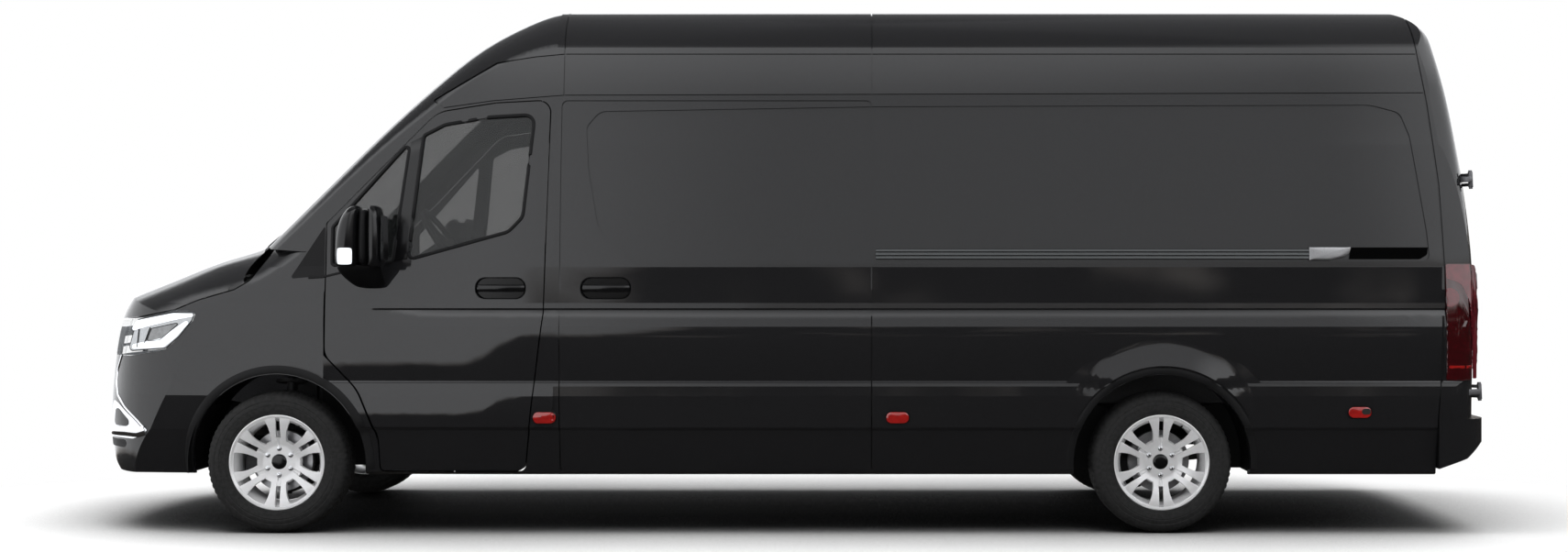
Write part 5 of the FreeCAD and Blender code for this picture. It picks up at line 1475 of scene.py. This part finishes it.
def make_wipers():
    for index, (start, end) in enumerate(WIPERS):
        spots = [start.lerp(end, step / WIPER_STEPS) for step in range(WIPER_STEPS + 1)]
        found = [point for point in (glass_point(spot.x, spot.y) for spot in spots) if point]
        normals = [normal for place, normal in found]
        line = [place + normal * 0.006 for place, normal in found]
        blade = swept("wiper_blade", line, normals, BLADE_SECTION, False)
        last = len(line) - 1
        bow = [place + normal * (0.016 + 0.010 * math.sin(math.pi * step / last))
               for step, (place, normal) in enumerate(zip(line, normals))][:len(line) * 2 // 3]
        arm = swept("wiper_arm", bow, normals[:len(bow)], ARM_SECTION, False)
        for name, mesh in (("wiper_blade", blade), ("wiper_arm", arm)):
            add_piece("%s_%d" % (name, index), bevelled(mesh, 0.001), "black_trim", "body")


# Studio
FLOOR_FADE = (5.2, 2.6)
# Reach of the painted shadow that ambient occlusion darkens into the floor's colour
SHADOW_REACH = 1.6


def make_floor():
    shape = bmesh.new()
    bmesh.ops.create_grid(shape, x_segments=1, y_segments=1, size=60.0)
    mesh = closed_up("floor", shape)
    floor = bpy.data.objects.new("floor", mesh)
    floor.location = (0, 0, -0.001)
    bpy.context.scene.collection.objects.link(floor)
    shader = Shader("floor")
    noise = shader.noise(0.8)
    shader.bump(noise, "Fac", 0.05, 0.0005)
    # Painted shadow: ambient occlusion darkens the floor's own colour near and under the vehicle, on top of
    # the lamps' real shadow
    painted_shadow_occlusion = shader.add("ShaderNodeAmbientOcclusion", samples=8)
    painted_shadow_occlusion.inputs["Distance"].default_value = SHADOW_REACH
    stops = [(0.2, grey(0.0)), (0.5, grey(0.42)), (0.85, grey(0.9)), (1.0, grey(0.95))]
    shade = shader.ramp(painted_shadow_occlusion, "AO", stops)
    shader.link(shade, "Color", shader.surface, "Base Color")
    shader.set(Roughness=0.9, Specular_IOR_Level=0.05)
    whiten_far_floor(shader)
    mesh.materials.append(shader.material)
    floor.visible_glossy = False


def whiten_far_floor(shader):
    """Away from the vehicle and its shadow the floor is seen as plain white."""
    place = shader.add("ShaderNodeTexCoord")
    squeeze = shader.add("ShaderNodeMapping")
    squeeze.inputs["Scale"].default_value = (1 / FLOOR_FADE[0], 1 / FLOOR_FADE[1], 0)
    distance = shader.add("ShaderNodeVectorMath", operation="LENGTH")
    shader.link(place, "Object", squeeze, "Vector")
    shader.link(squeeze, "Vector", distance, 0)
    fade = shader.add("ShaderNodeMapRange", interpolation_type="SMOOTHSTEP")
    fade.inputs["From Min"].default_value = 0.75
    fade.inputs["From Max"].default_value = 1.0
    shader.link(distance, "Value", fade, "Value")
    rays = shader.add("ShaderNodeLightPath")
    seen = shader.number("MAXIMUM", (rays, "Is Camera Ray"), (rays, "Is Transmission Ray"))
    share = shader.number("MULTIPLY", (fade, "Result"), seen)
    white = shader.add("ShaderNodeEmission")
    mix = shader.add("ShaderNodeMixShader")
    shader.link(share[0], share[1], mix, "Fac")
    shader.tree.links.new(shader.surface.outputs["BSDF"], mix.inputs[1])
    shader.tree.links.new(white.outputs["Emission"], mix.inputs[2])
    output = shader.tree.nodes["Material Output"]
    shader.link(mix, "Shader", output, "Surface")


def make_world():
    """White wherever it is seen, mirrored or looked at through glass, and softer as a light."""
    world = bpy.data.worlds.new("studio")
    bpy.context.scene.world = world
    world.use_nodes = True
    tree = world.node_tree
    background = tree.nodes["Background"]
    background.inputs["Color"].default_value = grey(1.0)
    rays = tree.nodes.new("ShaderNodeLightPath")
    seen = tree.nodes.new("ShaderNodeMath")
    seen.operation = "MAXIMUM"
    tree.links.new(rays.outputs["Is Camera Ray"], seen.inputs[0])
    tree.links.new(rays.outputs["Is Glossy Ray"], seen.inputs[1])
    through = tree.nodes.new("ShaderNodeMath")
    through.operation = "MAXIMUM"
    tree.links.new(seen.outputs["Value"], through.inputs[0])
    tree.links.new(rays.outputs["Is Transmission Ray"], through.inputs[1])
    strength = tree.nodes.new("ShaderNodeMapRange")
    strength.inputs["To Min"].default_value = 0.22
    strength.inputs["To Max"].default_value = 1.0
    tree.links.new(through.outputs["Value"], strength.inputs["Value"])
    tree.links.new(strength.outputs["Result"], background.inputs["Strength"])


def make_area_light(name, place, target, size, power):
    data = bpy.data.lights.new(name, "AREA")
    data.shape = "RECTANGLE"
    data.size, data.size_y = size
    data.energy = power
    light = bpy.data.objects.new(name, data)
    light.location = place
    light.rotation_euler = (Vector(target) - Vector(place)).to_track_quat("-Z", "Y").to_euler()
    light.visible_glossy = False
    bpy.context.scene.collection.objects.link(light)


def make_lights():
    make_area_light("overhead", (0.0, 0.0, 8.0), (0, 0, 0), (14.0, 6.0), 1250)
    make_area_light("side", (0.0, -7.0, 9.0), (0, 0, 1.0), (12.0, 3.0), 300)


# Surroundings that only reflections see: dark land, a bright sky above it and a dim one overhead
SKY_RADIUS = 24.0
SKY_CENTRE = Vector((0.0, 0.0, 1.2))


def sky_material():
    """Heights and turns are angles seen from the vehicle; a turn is negative towards its front."""
    shader = Shader("sky")
    place = shader.add("ShaderNodeTexCoord")
    direction = shader.add("ShaderNodeVectorMath", operation="NORMALIZE")
    shader.link(place, "Object", direction, 0)
    split = shader.add("ShaderNodeSeparateXYZ")
    shader.link(direction, "Vector", split, "Vector")
    height = shader.number("DEGREES", shader.number("ARCSINE", (split, "Z")))
    aside = shader.number("ABSOLUTE", (split, "Y"))
    turn = shader.number("DEGREES", shader.number("ARCTAN2", (split, "X"), aside))
    land_top = shader.number("ADD", shader.span(turn, -17.0, -12.0, -10.0, 0.4),
                             shader.span(turn, -10.0, -2.0, 0.0, 5.0))
    above = shader.number("SUBTRACT", height, land_top)
    sky_share = shader.span(above, 0.0, 2.2, 0.0, 1.0)
    rear_sky = shader.span(turn, 20.0, 27.0, 0.0, 0.9)
    low_sky = shader.number("ADD", shader.span(turn, -16.0, -1.0, 1.55, 0.90), rear_sky)
    bright_sky = shader.number("ADD", low_sky, shader.span(height, 22.0, 27.0, 0.0, 0.9))
    sky = shader.number("MULTIPLY", bright_sky, shader.span(height, 27.0, 38.0, 1.0, 0.12))
    spots = shader.add("ShaderNodeCombineXYZ")
    for part, scale, axis in ((turn, 0.16, "X"), (height, 0.75, "Y")):
        scaled = shader.number("MULTIPLY", part, scale)
        shader.link(scaled[0], scaled[1], spots, axis)
    patches = shader.add("ShaderNodeTexNoise")
    patches.inputs["Scale"].default_value = 1.0
    patches.inputs["Detail"].default_value = 5.0
    shader.link(spots, "Vector", patches, "Vector")
    lit_land = shader.span((patches, "Fac"), 0.50, 0.72, 0.0, 0.75)
    risen = shader.span(height, 0.2, 1.2, 0.0, 1.0)
    land = shader.number("ADD", 0.03, shader.number("MULTIPLY", lit_land, risen))
    land_part = shader.number("MULTIPLY", land, shader.number("SUBTRACT", 1.0, sky_share))
    strength = shader.number("ADD", land_part, shader.number("MULTIPLY", sky, sky_share))
    tint = shader.ramp(sky_share[0], sky_share[1], [(0.0, (1.0, 0.92, 0.85, 1)), (1.0, (0.97, 0.98, 1.0, 1))])
    glow = shader.add("ShaderNodeEmission")
    shader.link(tint, "Color", glow, "Color")
    shader.link(strength[0], strength[1], glow, "Strength")
    shader.link(glow, "Emission", shader.tree.nodes["Material Output"], "Surface")
    return shader.material


def make_sky():
    shape = bmesh.new()
    bmesh.ops.create_uvsphere(shape, u_segments=48, v_segments=24, radius=SKY_RADIUS)
    mesh = closed_up("sky", shape)
    sky = bpy.data.objects.new("sky", mesh)
    sky.location = SKY_CENTRE
    mesh.materials.append(sky_material())
    bpy.context.scene.collection.objects.link(sky)
    for kind in ("camera", "diffuse", "transmission", "volume_scatter", "shadow"):
        setattr(sky, "visible_" + kind, False)


STEPS = [grow_trees, make_camera, dress_nodes, smooth_nodes, make_wheels, make_window_trims, make_handles,
         make_mirrors, make_headlamps, make_front_corners, make_rails, make_tail_lamps, make_markers,
         make_arch_edges, make_rear_hinges, make_liners, make_rear_flare, make_seats, make_belts,
         make_rear_fittings, make_wipers, make_floor, make_world, make_lights, make_sky]


def main():
    bpy.context.scene.view_settings.view_transform = "Standard"
    for step in STEPS:
        step()


main()
